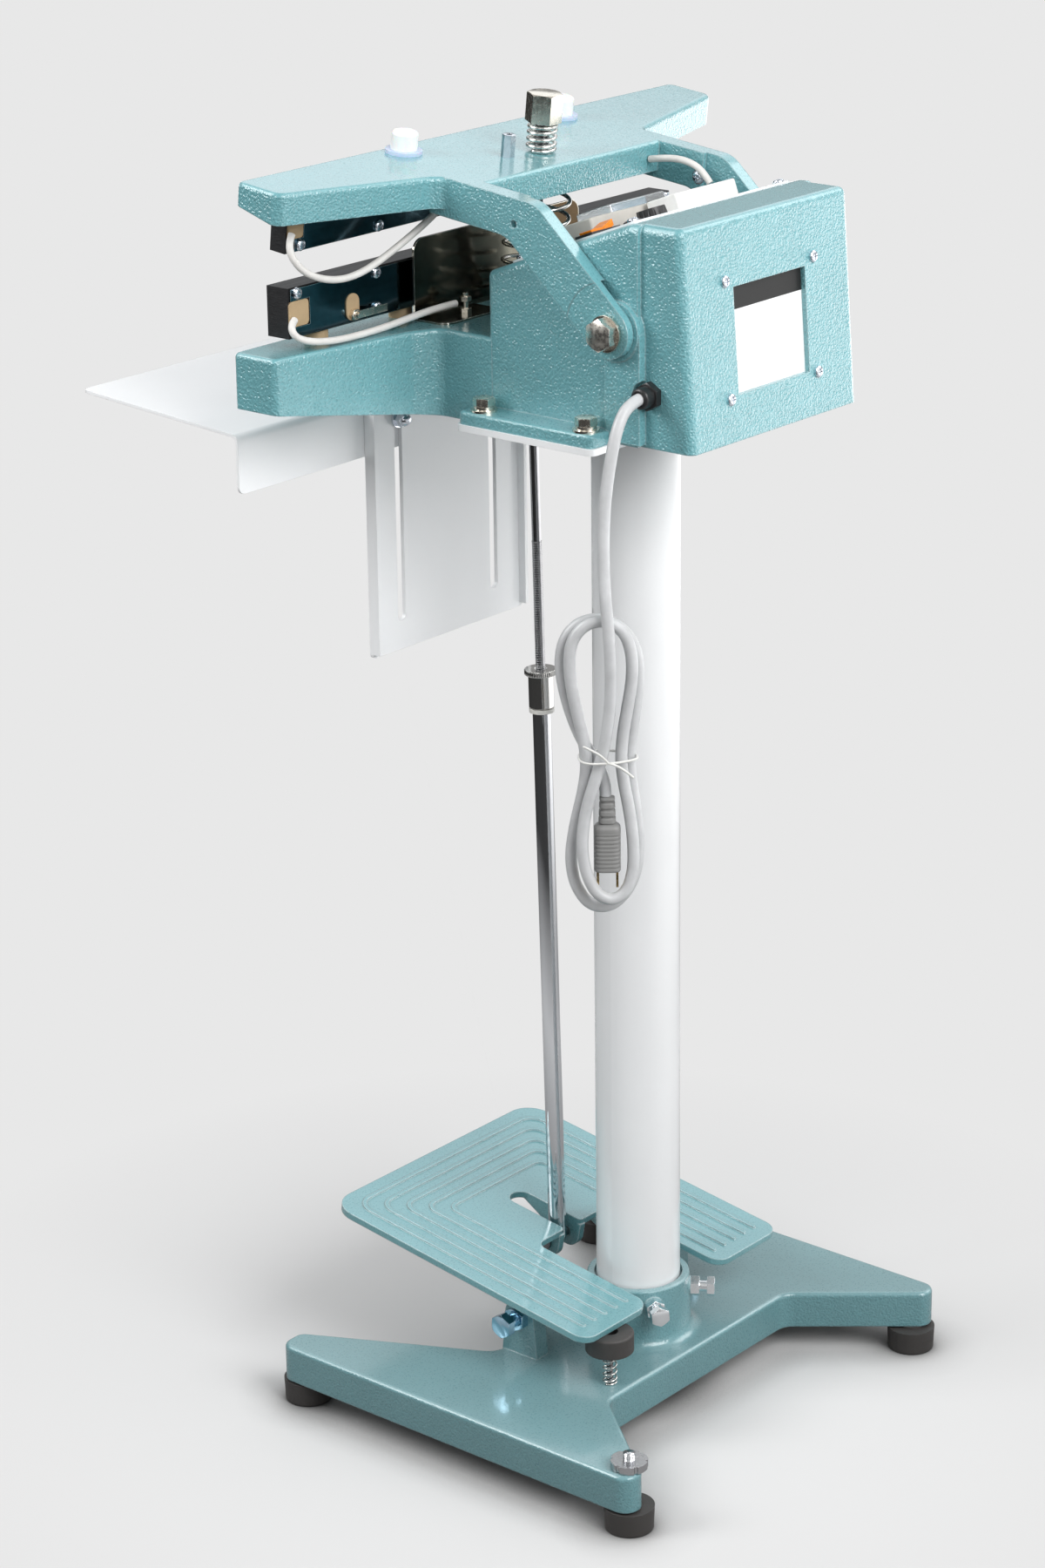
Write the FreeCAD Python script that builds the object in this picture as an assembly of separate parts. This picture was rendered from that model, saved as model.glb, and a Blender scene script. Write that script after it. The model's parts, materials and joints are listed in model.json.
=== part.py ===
import FreeCAD, Part
import math
import os

# Foot operated heat sealer on a pole: cast base, pedal, pull rod and a sprung jaw
# over a fixed frame with two heated bars. Lengths in millimetres, angles in degrees.
# Working frame: origin on the floor at the pole's axis, +X to the right of the operator's
# back view, +Y to the back, +Z up. place_y moves all of it to the middle of its box.

V = FreeCAD.Vector
X_AXIS = V(1, 0, 0)
Y_AXIS = V(0, 1, 0)
Z_AXIS = V(0, 0, 1)

# clearances
FIT = 0.05              # radial gap of a pin in its hole
LOOSE = 0.3             # gap between pieces that move past each other
TOUCH = 0.1             # gap between a piece and its seat
PAST = 1.0              # how far a cutting shape passes a face
BIG = 1000.0            # past every piece, for cuts

# metric fasteners: radius of shank, width across flats, head and nut heights
M4_R, M4_HEAD_R, M4_HEAD, M4_AF, M4_NUT = 2.0, 3.9, 2.6, 7.0, 3.2
M4_DEPTH = 8.0
CROSS_HALF = 0.45
M5_R, M5_HEAD_R, M5_HEAD, M5_KEY, M5_KEY_DEPTH = 2.5, 4.5, 4.0, 4.0, 2.0
M6_R, M6_AF, M6_HEAD = 3.0, 10.0, 4.0
M6_DEPTH = 7.0
M8_R, M8_AF, M8_HEAD, M8_NUT = 4.0, 13.0, 5.5, 6.5
BOLT_ROOM_R = 8.5
M8_WASHER_R, M8_WASHER = 8.9, 1.6
M8_LOCK_WASHER_R, M8_LOCK_WASHER = 6.9, 2.2
M10_R, M10_AF, M10_HEAD, M10_NUT = 5.0, 16.0, 6.4, 7.0
M12_R, M12_AF, M12_HEAD = 6.0, 19.0, 7.2
M12_WASHER_R, M12_WASHER = 12.0, 2.0

# feet
FOOT_R = 17.5
FOOT_SOLE_R = 16.8
FOOT_HEIGHT = 17.2
FOOT_EDGE_R = 1.5
FOOT_PLATE_R = 9.0
FOOT_PLATE = 1.8
FOOT_BOSS_R = 12.0
STUD_DEPTH = 18.0
STUD_ABOVE_NUT = 5.0
ROUND_NUT_R = 12.9
ROUND_NUT = 5.4
ROUND_NUT_NOTCH_R = 1.4
ROUND_NUT_NOTCHES = 6

# base casting
BASE_BOTTOM = FOOT_HEIGHT + FOOT_PLATE
BASE_HEIGHT = 27.0
BASE_TOP = BASE_BOTTOM + BASE_HEIGHT
BASE_HALF_X = 185.3
BASE_FRONT = -184.5
BASE_BACK = 136.5
BASE_TIP_FRONT_X = BASE_HALF_X - 22.3
BASE_TIP_BACK_X = BASE_HALF_X - 16.3
BASE_WAIST_FRONT = (BASE_HALF_X - 89.3, BASE_FRONT + 130.5)
BASE_WAIST_BACK = (BASE_HALF_X - 81.3, BASE_BACK - 81.5)
BASE_WALL = 6.0
BASE_EDGE_R = 3.0
BASE_TIP_R = 9.0
BASE_OUTER_R = 11.0
BASE_WAIST_R = 16.0
RIB_THICK = 6.0
BASE_RIB_LIFT = 5.0
BASE_RIB_X = BASE_HALF_X - 35.3
FOOT_X = BASE_HALF_X - 16.8
FOOT_FRONT = BASE_FRONT + 12.0
FOOT_BACK = BASE_BACK - 12.0

# pole and its socket
POLE_R = 30.25
POLE_WALL = 3.0
POLE_LENGTH = 690.5
SOCKET_WALL = 6.75
SOCKET_DRAFT = 1.5
SOCKET_HEIGHT = 44.0
SOCKET_SINK = 6.0
SOCKET_FILLET = 8.0
SOCKET_SPREAD = SOCKET_FILLET * 1.4
SOCKET_EDGE_R = 1.6
SOCKET_MOUTH = 1.6
SOCKET_MOUTH_DEPTH = 5.0
SOCKET_TOP = BASE_TOP + SOCKET_HEIGHT
SOCKET_FLOOR = BASE_TOP - SOCKET_SINK
SOCKET_TOP_R = POLE_R + SOCKET_WALL
SOCKET_FOOT_R = SOCKET_TOP_R + SOCKET_DRAFT
SET_BOLT_ANGLES = (55.0, 125.0)
SET_BOLT_Z = SOCKET_TOP - 12.0
SET_BOLT_SEAT = SOCKET_TOP_R + 1.0
SET_BOLT_STAND = 12.0
SET_BOLT_PAD_R = 7.5
POLE_TOP = SOCKET_FLOOR + POLE_LENGTH

# pedal, its hinge and its bumper
HINGE_Y = -38.0
HINGE_Z = BASE_TOP + 29.7
PEDAL_SLOPE = 8.36
PEDAL_Z = HINGE_Z + 22.8
PEDAL_THICK = 5.0
PEDAL_HALF_X = 113.5
PEDAL_FRONT = -198.6
PEDAL_BACK = 43.5
PEDAL_NOTCH_X = POLE_R + 10.75
PEDAL_NOTCH_FRONT = -61.7
PEDAL_NOTCH_R = 8.0
PEDAL_SLOT_HALF = 9.0
PEDAL_SLOT_FRONT = -119.3
PEDAL_SLOT_BACK_R = 3.0
PEDAL_FRONT_R = 20.0
PEDAL_PRONG_R = 12.0
BEAD_X = PEDAL_HALF_X - 13.5
BEAD_FRONT = PEDAL_FRONT + 13.6
BEAD_BACK = PEDAL_BACK - 12.5
BEAD_PITCH = 12.0
BEAD_COUNT = 5
BEAD_WIDTH = 3.2
BEAD_HEIGHT = 1.3
BEAD_R = 14.0
BEAD_R_STEP = 1.5
LUG_INNER_X = 62.0
LUG_THICK = 13.5
LUG_R = 12.7
LUG_SPREAD = 3.0
LUG_BEND_R = LUG_R - 1.0
POST_GAP = 1.0
POST_THICK = 13.0
POST_R = 12.0
POST_SPREAD = 4.0
HINGE_BOLT_STAND = 7.5
EAR_THICK = 5.5
EAR_EDGE_R, EAR_BACK_R = 8.0, 10.0
EAR_FRONT = 22.0
EAR_BACK = 13.0
EAR_DEPTH = 10.5
PIN_R = 4.0
PIN_HEAD = 2.0
PIN_CLIP = 1.2
PIN_Y = HINGE_Y - 37.3
PIN_Z = HINGE_Z + 19.3
BUMPER_X = PEDAL_HALF_X - 30.1
BUMPER_Y = PEDAL_BACK - 3.5
BUMPER_R = 17.3
BUMPER_FOOT_R, BUMPER_RIM_R = 1.2, 1.8
BUMPER_HEIGHT = 14.8
BUMPER_FLOOR = 4.0
BUMPER_WELL_R = 6.0
BUMPER_SPRING_R = 5.4
BUMPER_WIRE = 1.3
BUMPER_TURNS = 6
BUMPER_SCREW_SINK = 8.0
bumper_top = (PEDAL_Z - PEDAL_BACK * math.sin(math.radians(PEDAL_SLOPE))
              - PEDAL_THICK * math.cos(math.radians(PEDAL_SLOPE)) - LOOSE - TOUCH)
bumper_bottom = bumper_top - BUMPER_HEIGHT

# the head: heights count up from the pole plate's top
PLATE_THICK = 4.5
FLANGE_BOTTOM = POLE_TOP + PLATE_THICK
FLANGE_THICK = 8.7
FLANGE_TOP = FLANGE_BOTTOM + FLANGE_THICK
DECK_Z = FLANGE_BOTTOM + 55.0
PIVOT_Y = 59.3
PIVOT_Z = FLANGE_BOTTOM + 74.6
OPEN_ANGLE = 6.6

# housing of the controls, part of the lower frame
HOUSING_HALF_X = 94.0
HOUSING_REAR_HALF_X = HOUSING_HALF_X - 3.5
HOUSING_STEP_Y = PIVOT_Y + 16.7
HOUSING_FRONT = -50.0
HOUSING_SHOULDER = FLANGE_BOTTOM + 98.5
HOUSING_RIDGE = (HOUSING_FRONT + 119.0, FLANGE_BOTTOM + 144.0)
HOUSING_REAR_TOP_Y = HOUSING_RIDGE[0] + 38.0
HOUSING_REAR_BOTTOM_Y = HOUSING_REAR_TOP_Y + 10.5
HOUSING_WALL = 6.0
HOUSING_EDGE_R = 6.0
HOUSING_RADII = [0, 4, 14, 16, 5, 0]
SLOPE_START = (HOUSING_FRONT + 7.7, HOUSING_SHOULDER + 3.0)
FLANGE_HALF_X = HOUSING_HALF_X + 22.0
FLANGE_FRONT = HOUSING_FRONT - 8.0
FLANGE_BACK = 55.0
FLANGE_EDGE_R = 2.0
FLANGE_BOLT_X = FLANGE_HALF_X - 10.0
FLANGE_BOLT_Y = FLANGE_BACK - 12.0
FLANGE_BOLT_END = 2.0
FLOOR_HOLE_FRONT = 16.0
FLOOR_HOLE_BACK = 14.0
FLOOR_HOLE_R = 8.0
PLATE_HALF_X = FLANGE_HALF_X + 1.0
PLATE_FRONT = FLANGE_FRONT - 1.0
PLATE_BACK = FLANGE_BACK + 1.5
PLATE_R = 5.0
WINDOW_HALF_X = 38.7
WINDOW_BOTTOM = 30.0
WINDOW_HEIGHT = 70.0
WINDOW_WALL = 3.6
REAR_PLATE_THICK = 1.5
REAR_PLATE_EDGE = 6.0
REAR_PLATE_BELOW = 10.0
REAR_PLATE_ABOVE = 12.0
REAR_RELIEF = 4.0
REAR_RELIEF_EDGE = 2.0
REAR_SCREW_X = WINDOW_HALF_X + 9.0
REAR_SCREW_UP = (WINDOW_BOTTOM - 1.5, WINDOW_BOTTOM + WINDOW_HEIGHT + 5.0)
PIVOT_BOSS_R = 20.0
PIVOT_BOSS_X = HOUSING_HALF_X + 4.3
PIVOT_BOSS_DEPTH = 14.3
PIVOT_PAD_X = PIVOT_BOSS_X - 1.3
PIVOT_PAD_FRONT = PIVOT_Y - 7.8
PIVOT_PAD_BACK = PIVOT_Y + 20.2
PIVOT_PAD_LIFT = 2.0
PIVOT_BOLT_SINK = 24.3

# heated bars and the beams that carry them
BAR_HALF_X = 200.8
BEAM_OVERHANG = 25.2
LOWER_BAR_FRONT = -145.7
LOWER_BAR_THICK = 18.5
LOWER_BAR_HEIGHT = 33.5
LOWER_BAR_BOTTOM = DECK_Z + 7.5
LOWER_BAR_TOP = LOWER_BAR_BOTTOM + LOWER_BAR_HEIGHT
BAR_GAP = 0.4
UPPER_BAR_FRONT = LOWER_BAR_FRONT + 0.2
UPPER_BAR_THICK = 13.0
UPPER_BAR_HEIGHT = 34.0
UPPER_BAR_BOTTOM = LOWER_BAR_TOP + BAR_GAP
SIDE_PLATE = 1.0
SIDE_PLATE_END = 1.5
UPPER_PLATE_END, UPPER_PLATE_STEP = 8.0, 8.0
BAR_SCREW_X = (BAR_HALF_X - 88.8, BAR_HALF_X - 12.8)
BAR_SCREW_UP = 4.5
BAR_SCREW_HOLE = 6.0
LOWER_SCREW_DOWN = 4.0
LOWER_SCREW_SHIFT = (4.7, 5.6)
HANGER_X = 81.5
HANGER_Y = UPPER_BAR_FRONT + 6.0
HANGER_R = 4.0
HANGER_SINK = 9.0
SPACER_R = 6.2
HANGER_SPACER = 7.1
CAP_R = 9.0
CAP_EDGE_R = 2.5
CAP_HEIGHT = 12.5
CAP_BORE = 8.2
CAP_RING_R = 12.5
CAP_RING = 2.5
LOWER_SPACER_X = (HANGER_X, BAR_HALF_X - 35.8)
LOWER_SPACER_R = 8.0
LOWER_BOLT_SINK = 10.0
TAB_THICK = 1.0
UPPER_TAB = (15.5, 1.0, 9.3, 22.0, 2.0)
LOWER_TAB = (18.5, 0.0, 7.5, 24.5, 3.0)
MIDDLE_TAB = (BAR_HALF_X - 66.3, BAR_HALF_X - 53.8, 2.0, 20.0, 6.0)
CONNECTOR_X = BAR_HALF_X - 60.0
CONNECTOR_UP = 6.2
STRAP_LENGTH = 29.0
STRAP_HALF = 2.5
STRAP_THICK = 1.2

# lower beam, part of the lower frame
WING_HALF_X = BAR_HALF_X + BEAM_OVERHANG
WING_FRONT = LOWER_BAR_FRONT - 8.8
WING_TIP_BACK = WING_FRONT + 37.5
WING_ROOT = (HOUSING_HALF_X + 18.0, WING_FRONT + 55.5)
WING_ROOT_STEP = 9.0
WING_TIP_BOTTOM = FLANGE_BOTTOM + 18.0
WING_ROOT_BOTTOM = FLANGE_BOTTOM - 4.0
WING_WALL = 6.5
WING_EDGE_R = 4.0
WING_ROOT_R = 8.0
WING_WEB_X = (HOUSING_HALF_X + 6.0, WING_HALF_X - 76.0)
WING_WEB_LIFT = 8.0
DECK_HOLE_X = 16.0
DECK_HOLE_FRONT = -108.0
DECK_HOLE_BACK = -66.0
DECK_HOLE_R = 5.0

# upper jaw casting, drawn level as when it is closed
JAW_WALL = 6.0
JAW_TOP = UPPER_BAR_BOTTOM + UPPER_BAR_HEIGHT + HANGER_SPACER + JAW_WALL
JAW_HALF_X = WING_HALF_X
JAW_FRONT = WING_FRONT - 1.0
JAW_TIP_BACK = JAW_FRONT + 38.0
JAW_WEB_BACK = -59.0
JAW_LIP_BOTTOM = JAW_TOP - 14.8
JAW_WALL_BOTTOM = JAW_TOP - 21.0
JAW_LIP_DEPTH = 32.0
JAW_EDGE_R = 4.0
JAW_ROOT_R = 5.0
JAW_RIB = 5.0
JAW_RIB_LIFT = 4.0
ARM_THICK = 13.5
ARM_BOTTOM = JAW_TOP - 26.0
ARM_SLOPE = 36.0
ARM_R = 17.0
ARM_THIN_X = PIVOT_BOSS_X + LOOSE
ARM_THIN = 6.0
ARM_THIN_OUTER_X = ARM_THIN_X + ARM_THIN
ARM_OUTER_X = ARM_THIN_OUTER_X + 0.4
ARM_THIN_R = 33.0
ARM_BEND_R = 22.0
ARM_RELIEF_Y = -21.0
JAW_ROOT = (ARM_OUTER_X + 8.0, JAW_FRONT + 67.5)
JAW_ROOT_STEP = 6.0
JAW_RIB_X = (ARM_OUTER_X - 9.0, JAW_HALF_X - 71.0)
BUSH_R = 8.0
CLIP_Y = -22.9
CLIP_Z = JAW_TOP - 16.8
CLIP_R = 5.2
CLIP_THICK = 1.4
CLIP_NECK = 7.0

# pressure bolt, nut and springs, level as when the jaw is closed
BOLT_Y = -89.0
BOLT_R = 5.0
BOLT_HOLE_R = 5.5
LINK_Z = DECK_Z - 12.2
LINK_THICK = 5.0
LINK_HALF_Y = 8.0
LINK_SLOT_R = 4.0
LINK_TRAVEL = 5.0
LINK_END = 5.0
LINK_TOP = LINK_Z + 16.2
PRESSURE_SPRING_R = 10.5
PRESSURE_WIRE = 2.6
PRESSURE_SPRING = 20.0
PRESSURE_TURNS = 4
NUT_AF = 21.5
NUT_HEIGHT = 19.5
NUT_ROOF = 4.0
RETURN_SPRING_R = 23.0
RETURN_WIRE = 2.8
RETURN_TURNS = 9
RETURN_SEAT = 1.9
STANDOFF_X = 31.0
STANDOFF_Y = BOLT_Y - 3.0
STANDOFF_AF = 8.0
STANDOFF = 15.5

# pull rod, from the pin in the pedal to the pin in the bolt's slot
ROD_TOP_Y = -91.7
ROD_TOP_Z = LINK_Z + 17.2
ROD_R = 3.2
TUBE_R = 6.5
TUBE_BORE_R = 4.9
TUBE_LENGTH = 404.0
TUBE_FLOOR = 14.0
ROD_IN_TUBE = 30.0
RING_R = 8.85
RING_THICK = 3.0
ADJUST_LENGTH = 24.0
ADJUST_FLANGE_R = 11.3
ADJUST_FLANGE = 8.0
ADJUST_GROOVES = 12
ADJUST_GROOVE_R = 0.9
FORK_HALF_X = 7.0
FORK_HALF_Y = 7.5
FORK_EDGE_R = 2.0
FORK_GAP = 3.2
FORK_PIN_R = 3.0
FORK_PIN_HEAD = 1.6
FORK_REACH = 8.0
FORK_SLOT_DEPTH = 18.0
FORK_LENGTH = 32.0
FORK_THREAD = 11.0

# guard plate behind the lower bar
GUARD_HALF_X = HOUSING_HALF_X - 7.0
GUARD_FRONT = LOWER_BAR_FRONT + LOWER_BAR_THICK + 7.2
GUARD_THICK = 1.5
GUARD_HEIGHT = 55.0
GUARD_BACK = GUARD_FRONT + 29.0
GUARD_GAP_X = 28.0
GUARD_R = 9.0
TERMINAL_X = 52.0
TERMINAL_Y = GUARD_FRONT + 16.0
TERMINAL_BELOW = 11.0
TERMINAL_ABOVE = 15.0
TERMINAL_STEP = 8.0

# slotted plate and shelf
RAIL_HALF_X = 81.0
RAIL_PAD = 15.0
RAIL_THICK = 3.0
RAIL_FRONT = WING_FRONT - RAIL_PAD - RAIL_THICK
RAIL_TOP = DECK_Z - 6.0
RAIL_LENGTH = 242.5
RAIL_BOTTOM = RAIL_TOP - RAIL_LENGTH
RAIL_EDGE_R = 3.0
RAIL_RETURN = 9.0
RAIL_PAD_X = 50.0
RAIL_PAD_HALF = 14.0
RAIL_PAD_BOTTOM = DECK_Z - 48.0
RAIL_PAD_TOP = DECK_Z - 10.0
RAIL_PAD_R = 4.0
RAIL_BOLT = 16.0
SLOT_X = RAIL_PAD_X
SLOT_R = 4.0
SLOT_BOTTOM = RAIL_BOTTOM + 20.5
SLOT_TOP = RAIL_TOP - 69.0
SHELF_HALF_X = 205.0
SHELF_THICK = 2.0
SHELF_TOP = SLOT_TOP + 12.0
SHELF_FLANGE = 40.5
SHELF_BOTTOM = SHELF_TOP - SHELF_FLANGE
SHELF_DEPTH = 145.5
SHELF_RISE = 10.0
SHELF_FRONT = RAIL_FRONT - SHELF_DEPTH
SHELF_FRONT_Z = SHELF_TOP + SHELF_RISE
SHELF_BEND_R = 6.0
SHELF_CORNER_R = 5.0
SHELF_BOLT_Z = SLOT_TOP - 7.0
CLAMP_WASHER_R = 6.5
CLAMP_WASHER = 1.5
CLAMP_NUT = 5.0
CLAMP_DOME_R = 4.8

# control panel on the sloping face; distances run up the slope from SLOPE_START
PANEL_HALF_X = HOUSING_HALF_X - 10.0
PANEL_START = 6.0
PANEL_LENGTH = 110.0
PANEL_END = PANEL_START + PANEL_LENGTH
PANEL_THICK = 1.5
PANEL_R = 4.0
PANEL_SCREW_EDGE = 6.0
CONTROLLER_HALF_X = 42.0
CONTROLLER_START = PANEL_START + 5.0
CONTROLLER_DEPTH = 35.0
CONTROLLER_HEIGHT = 12.5
COVER_X = (-CONTROLLER_HALF_X, CONTROLLER_HALF_X - 25.0)
COVER_EDGE = 2.0
COVER_HEIGHT = 5.5
JUNCTION_X = (-77.0, -12.0)
JUNCTION_START = PANEL_START + 44.0
JUNCTION_DEPTH = 27.0
JUNCTION_HEIGHT = 12.5
BOX_R = 2.0
BOX_EDGE_R = 1.2
KNOB_X = 17.5
KNOB_UP = PANEL_START + 71.0
KNOB_R = 10.5
KNOB_HEIGHT = 6.5
KNOB_DRAFT = 0.8
KNOB_GRIPS = 18
KNOB_GRIP_R = 0.8
LAMP_X = (32.0, 42.0)
LAMP_UP = PANEL_START + 70.0
LAMP_R = 3.2
LAMP_HEIGHT = 2.2
LAMP_TIP = 3.4
SWITCH_X = 62.0
SWITCH_UP = PANEL_START + 60.0
SWITCH_HALF_X = 15.0
SWITCH_HALF_UP = 8.0
SWITCH_FRAME = 1.5
SWITCH_COLLAR = 2.0
SWITCH_WALL = 1.0
SWITCH_DEPTH = 16.0
ROCKER_POCKET = 6.0
ROCKER_END = 3.6
ROCKER_MIDDLE = 1.6
ROCKER_BELLY = 1.8
ROCKER_TILT = 9.0

# mains cord: gland in the right wall, route by hand, hank, tie and plug
CORD_R = 4.0
GLAND_Y = 84.0
GLAND_Z = FLANGE_BOTTOM + 35.0
GLAND_AF = 16.5
GLAND_HEX = 5.0
GLAND_NOSE_R = 7.0
GLAND_LENGTH = 13.0
GLAND_STEM_R = CORD_R + 1.4
GLAND_STEM = 9.0
GLAND_SPOT_R = 10.2
GLAND_BORE_R = CORD_R + 0.4
GLAND_BORE = 6.0
CORD_ROUTE = [(102.5, 84.0, 770.0), (115.0, 84.3, 768.5), (126.0, 84.8, 757.0),
              (133.0, 84.2, 735.0), (138.5, 83.6, 706.0), (141.0, 84.2, 672.0),
              (139.0, 84.6, 645.0), (137.6, 84.0, 624.0)]
HANK_X = 137.6
HANK_Y = 84.0
HANK_TURN = 130.0
HANK_TOP = 634.0
HANK_WAIST = 538.0
HANK_BOTTOM = 435.5
HANK_UPPER_HALF = 29.5
HANK_WAIST_HALF = 17.5
HANK_LOWER_HALF = 27.5
HANK_THICK = 18.0
TIE_HALF_HEIGHT = 6.0
TIE_THICK = 1.2
PLUG_HALF = 8.75
PLUG_DEPTH = 14.0
PLUG_TOP = 494.0
PLUG_BOTTOM = 460.6
RELIEF_TOP = 511.0
BLADE_BOTTOM = 449.4
BLADE_HALF_WIDTH = 3.2
BLADE_THICK = 1.5
BLADE_PITCH = 12.7
BLADE_SINK = 12.0
PLUG_EDGE_R = 3.0
RELIEF_R = 5.6
RELIEF_TIP_R = 4.6
HANK_ROOM = 2.0
HANK_BENDS = (25.0, 12.0)
HANK_STRAIGHT = 12.0

# leads of the bars, level frame for the upper ones
LEAD_R = 2.4
UPPER_LEAD = [(199.0, -128.8, 845.5), (205.5, -126.4, 838.0), (201.5, -119.0, 825.5),
              (188.0, -115.0, 817.5), (169.0, -113.5, 813.0), (148.0, -113.0, 813.8), (127.0, -112.0, 821.0),
              (108.0, -109.5, 831.0), (90.0, -106.5, 842.0), (77.0, -104.0, 853.0), (70.0, -102.0, 866.0)]
LOWER_LEAD = [(199.0, -123.5, 810.5), (207.0, -120.0, 808.5), (206.0, -116.5, 801.0),
              (192.0, -114.0, 796.0), (171.0, -113.0, 793.4), (148.0, -112.5, 793.0), (124.0, -112.0, 793.6),
              (98.0, -111.0, 796.0), (76.0, -109.0, 798.0), (59.0, -106.5, 798.6)]
CLIP_LEAD_X = 8.0 - HOUSING_HALF_X
CLIP_LEAD = [(CLIP_LEAD_X + 5.5, -58.0, 867.5), (CLIP_LEAD_X + 4.0, -44.0, 871.5),
             (CLIP_LEAD_X + 2.0, -30.0, 872.5), (CLIP_LEAD_X + 0.5, -17.0, 869.0), (CLIP_LEAD_X, -9.5, 861.0)]

place_y = -(SHELF_FRONT + FOOT_BACK + FOOT_R) / 2


# shapes from outlines

def corner(before, point, after, radius):
    """Points where a round corner starts, passes its middle and ends."""
    a = FreeCAD.Vector(before[0] - point[0], before[1] - point[1], 0)
    b = FreeCAD.Vector(after[0] - point[0], after[1] - point[1], 0)
    half = a.getAngle(b) / 2
    back = radius / math.tan(half)
    a.normalize()
    b.normalize()
    middle = a + b
    middle.normalize()
    reach = radius / math.sin(half) - radius
    here = FreeCAD.Vector(point[0], point[1], 0)
    return here + a * back, here + middle * reach, here + b * back


def outline(points, radii, place):
    """Closed wire through flat points with round corners; place turns (a, b) into a vector."""
    count = len(points)
    if not isinstance(radii, (list, tuple)):
        radii = [radii] * count
    edges = []
    stops = []
    for i in range(count):
        if radii[i] > 0:
            stops.append(corner(points[i - 1], points[i], points[(i + 1) % count], radii[i]))
        else:
            here = FreeCAD.Vector(points[i][0], points[i][1], 0)
            stops.append((here, here, here))
    for i in range(count):
        start, middle, end = stops[i]
        if radii[i] > 0:
            edges.append(Part.Arc(place(start), place(middle), place(end)).toShape())
        following = stops[(i + 1) % count][0]
        if end.distanceToPoint(following) > 1e-6:
            edges.append(Part.LineSegment(place(end), place(following)).toShape())
    return Part.Wire(edges)


def prism_x(points, x0, x1, radii=0):
    """Outline in (y, z) carried from x0 to x1."""
    face = Part.Face(outline(points, radii, lambda p: V(x0, p.x, p.y)))
    return face.extrude(V(x1 - x0, 0, 0))


def prism_y(points, y0, y1, radii=0):
    """Outline in (x, z) carried from y0 to y1."""
    face = Part.Face(outline(points, radii, lambda p: V(p.x, y0, p.y)))
    return face.extrude(V(0, y1 - y0, 0))


def prism_z(points, z0, z1, radii=0):
    """Outline in (x, y) carried from z0 to z1."""
    face = Part.Face(outline(points, radii, lambda p: V(p.x, p.y, z0)))
    return face.extrude(V(0, 0, z1 - z0))


def rectangle(a0, a1, b0, b1):
    return [(a0, b0), (a1, b0), (a1, b1), (a0, b1)]


def block(x0, x1, y0, y1, z0, z1, radius=0):
    """Box with its upright edges rounded."""
    return prism_z(rectangle(x0, x1, y0, y1), z0, z1, radius)


def both_sides(points):
    """Right half of an outline and its mirror image, in order."""
    return points + [(-x, y) for x, y in reversed(points)]


def turned(points, radii=0, base=V(0, 0, 0), axis=Z_AXIS):
    """Outline in (radius, height) turned about the axis through base."""
    face = Part.Face(outline(points, radii, lambda p: V(p.x, 0, p.y)))
    return aim(face.revolve(V(0, 0, 0), Z_AXIS, 360), base, axis)


def aim(shape, base, axis):
    """Shape drawn about +Z at the origin, turned to the axis and moved to base."""
    shape.Placement = FreeCAD.Placement(base, FreeCAD.Rotation(Z_AXIS, axis)).multiply(shape.Placement)
    return shape


def cylinder(radius, length, base, axis=Z_AXIS):
    return Part.makeCylinder(radius, length, base, axis)


def ring(outer, inner, length, base, axis=Z_AXIS):
    return cylinder(outer, length, base, axis).cut(cylinder(inner, length, base, axis))


def hexagon(flats, length, base, axis=Z_AXIS):
    """Six-sided bar with its far corners turned off."""
    corners = flats / math.sqrt(3)
    points = [(corners * math.cos(math.radians(60 * i)), corners * math.sin(math.radians(60 * i)))
              for i in range(6)]
    bar = prism_z(points, 0, length)
    turn_off = (corners - flats / 2) * 0.5
    cone = turned([(0, 0), (corners, 0), (corners, length - turn_off), (flats / 2, length), (0, length)])
    return aim(bar.common(cone), base, axis)


def hex_nut(flats, hole_r, length, base, axis=Z_AXIS):
    return hexagon(flats, length, base, axis).cut(cylinder(hole_r, length, base, axis))


def hex_bolt(flats, head, shank_r, shank, base, axis):
    """Bolt whose head's seat is at base; the head points along the axis."""
    bolt = hexagon(flats, head, base, axis)
    return bolt.fuse(cylinder(shank_r, shank, base - axis * shank, axis)).removeSplitter()


def pan_screw(head_r, head, shank_r, shank, base, axis):
    """Round headed screw with a cross recess, seat at base."""
    head_shape = turned([(0, 0), (head_r, 0), (head_r, head * 0.5), (head_r * 0.85, head * 0.8),
                         (head_r * 0.5, head), (0, head)])
    slot = head_r * 0.62
    for turn in (0, 90):
        bar = block(-slot, slot, -CROSS_HALF, CROSS_HALF, head * 0.55, head + PAST)
        bar.rotate(V(0, 0, 0), Z_AXIS, turn)
        head_shape = head_shape.cut(bar)
    stem = cylinder(shank_r, shank, V(0, 0, -shank))
    return aim(head_shape.fuse(stem), base, axis)


def fuse(shapes):
    first = shapes[0]
    return first.fuse(shapes[1:]).removeSplitter() if len(shapes) > 1 else first


def inset(points, radii, gap):
    """Face of a flat outline drawn in by a gap, at height 0."""
    face = Part.Face(outline(points, radii, lambda p: V(p.x, p.y, 0)))
    return face.makeOffset2D(-gap)


def round_top(shape, height, radius):
    """Rounds every edge that lies in the plane z = height."""
    edges = [e for e in shape.Edges
             if abs(e.BoundBox.ZMin - height) < 1e-4 and abs(e.BoundBox.ZMax - height) < 1e-4]
    return shape.makeFillet(radius, edges)


def around(radius, index, count, height):
    """One of the places spaced evenly on a circle about +Z."""
    angle = 2 * math.pi * index / count
    return V(radius * math.cos(angle), radius * math.sin(angle), height)


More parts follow.
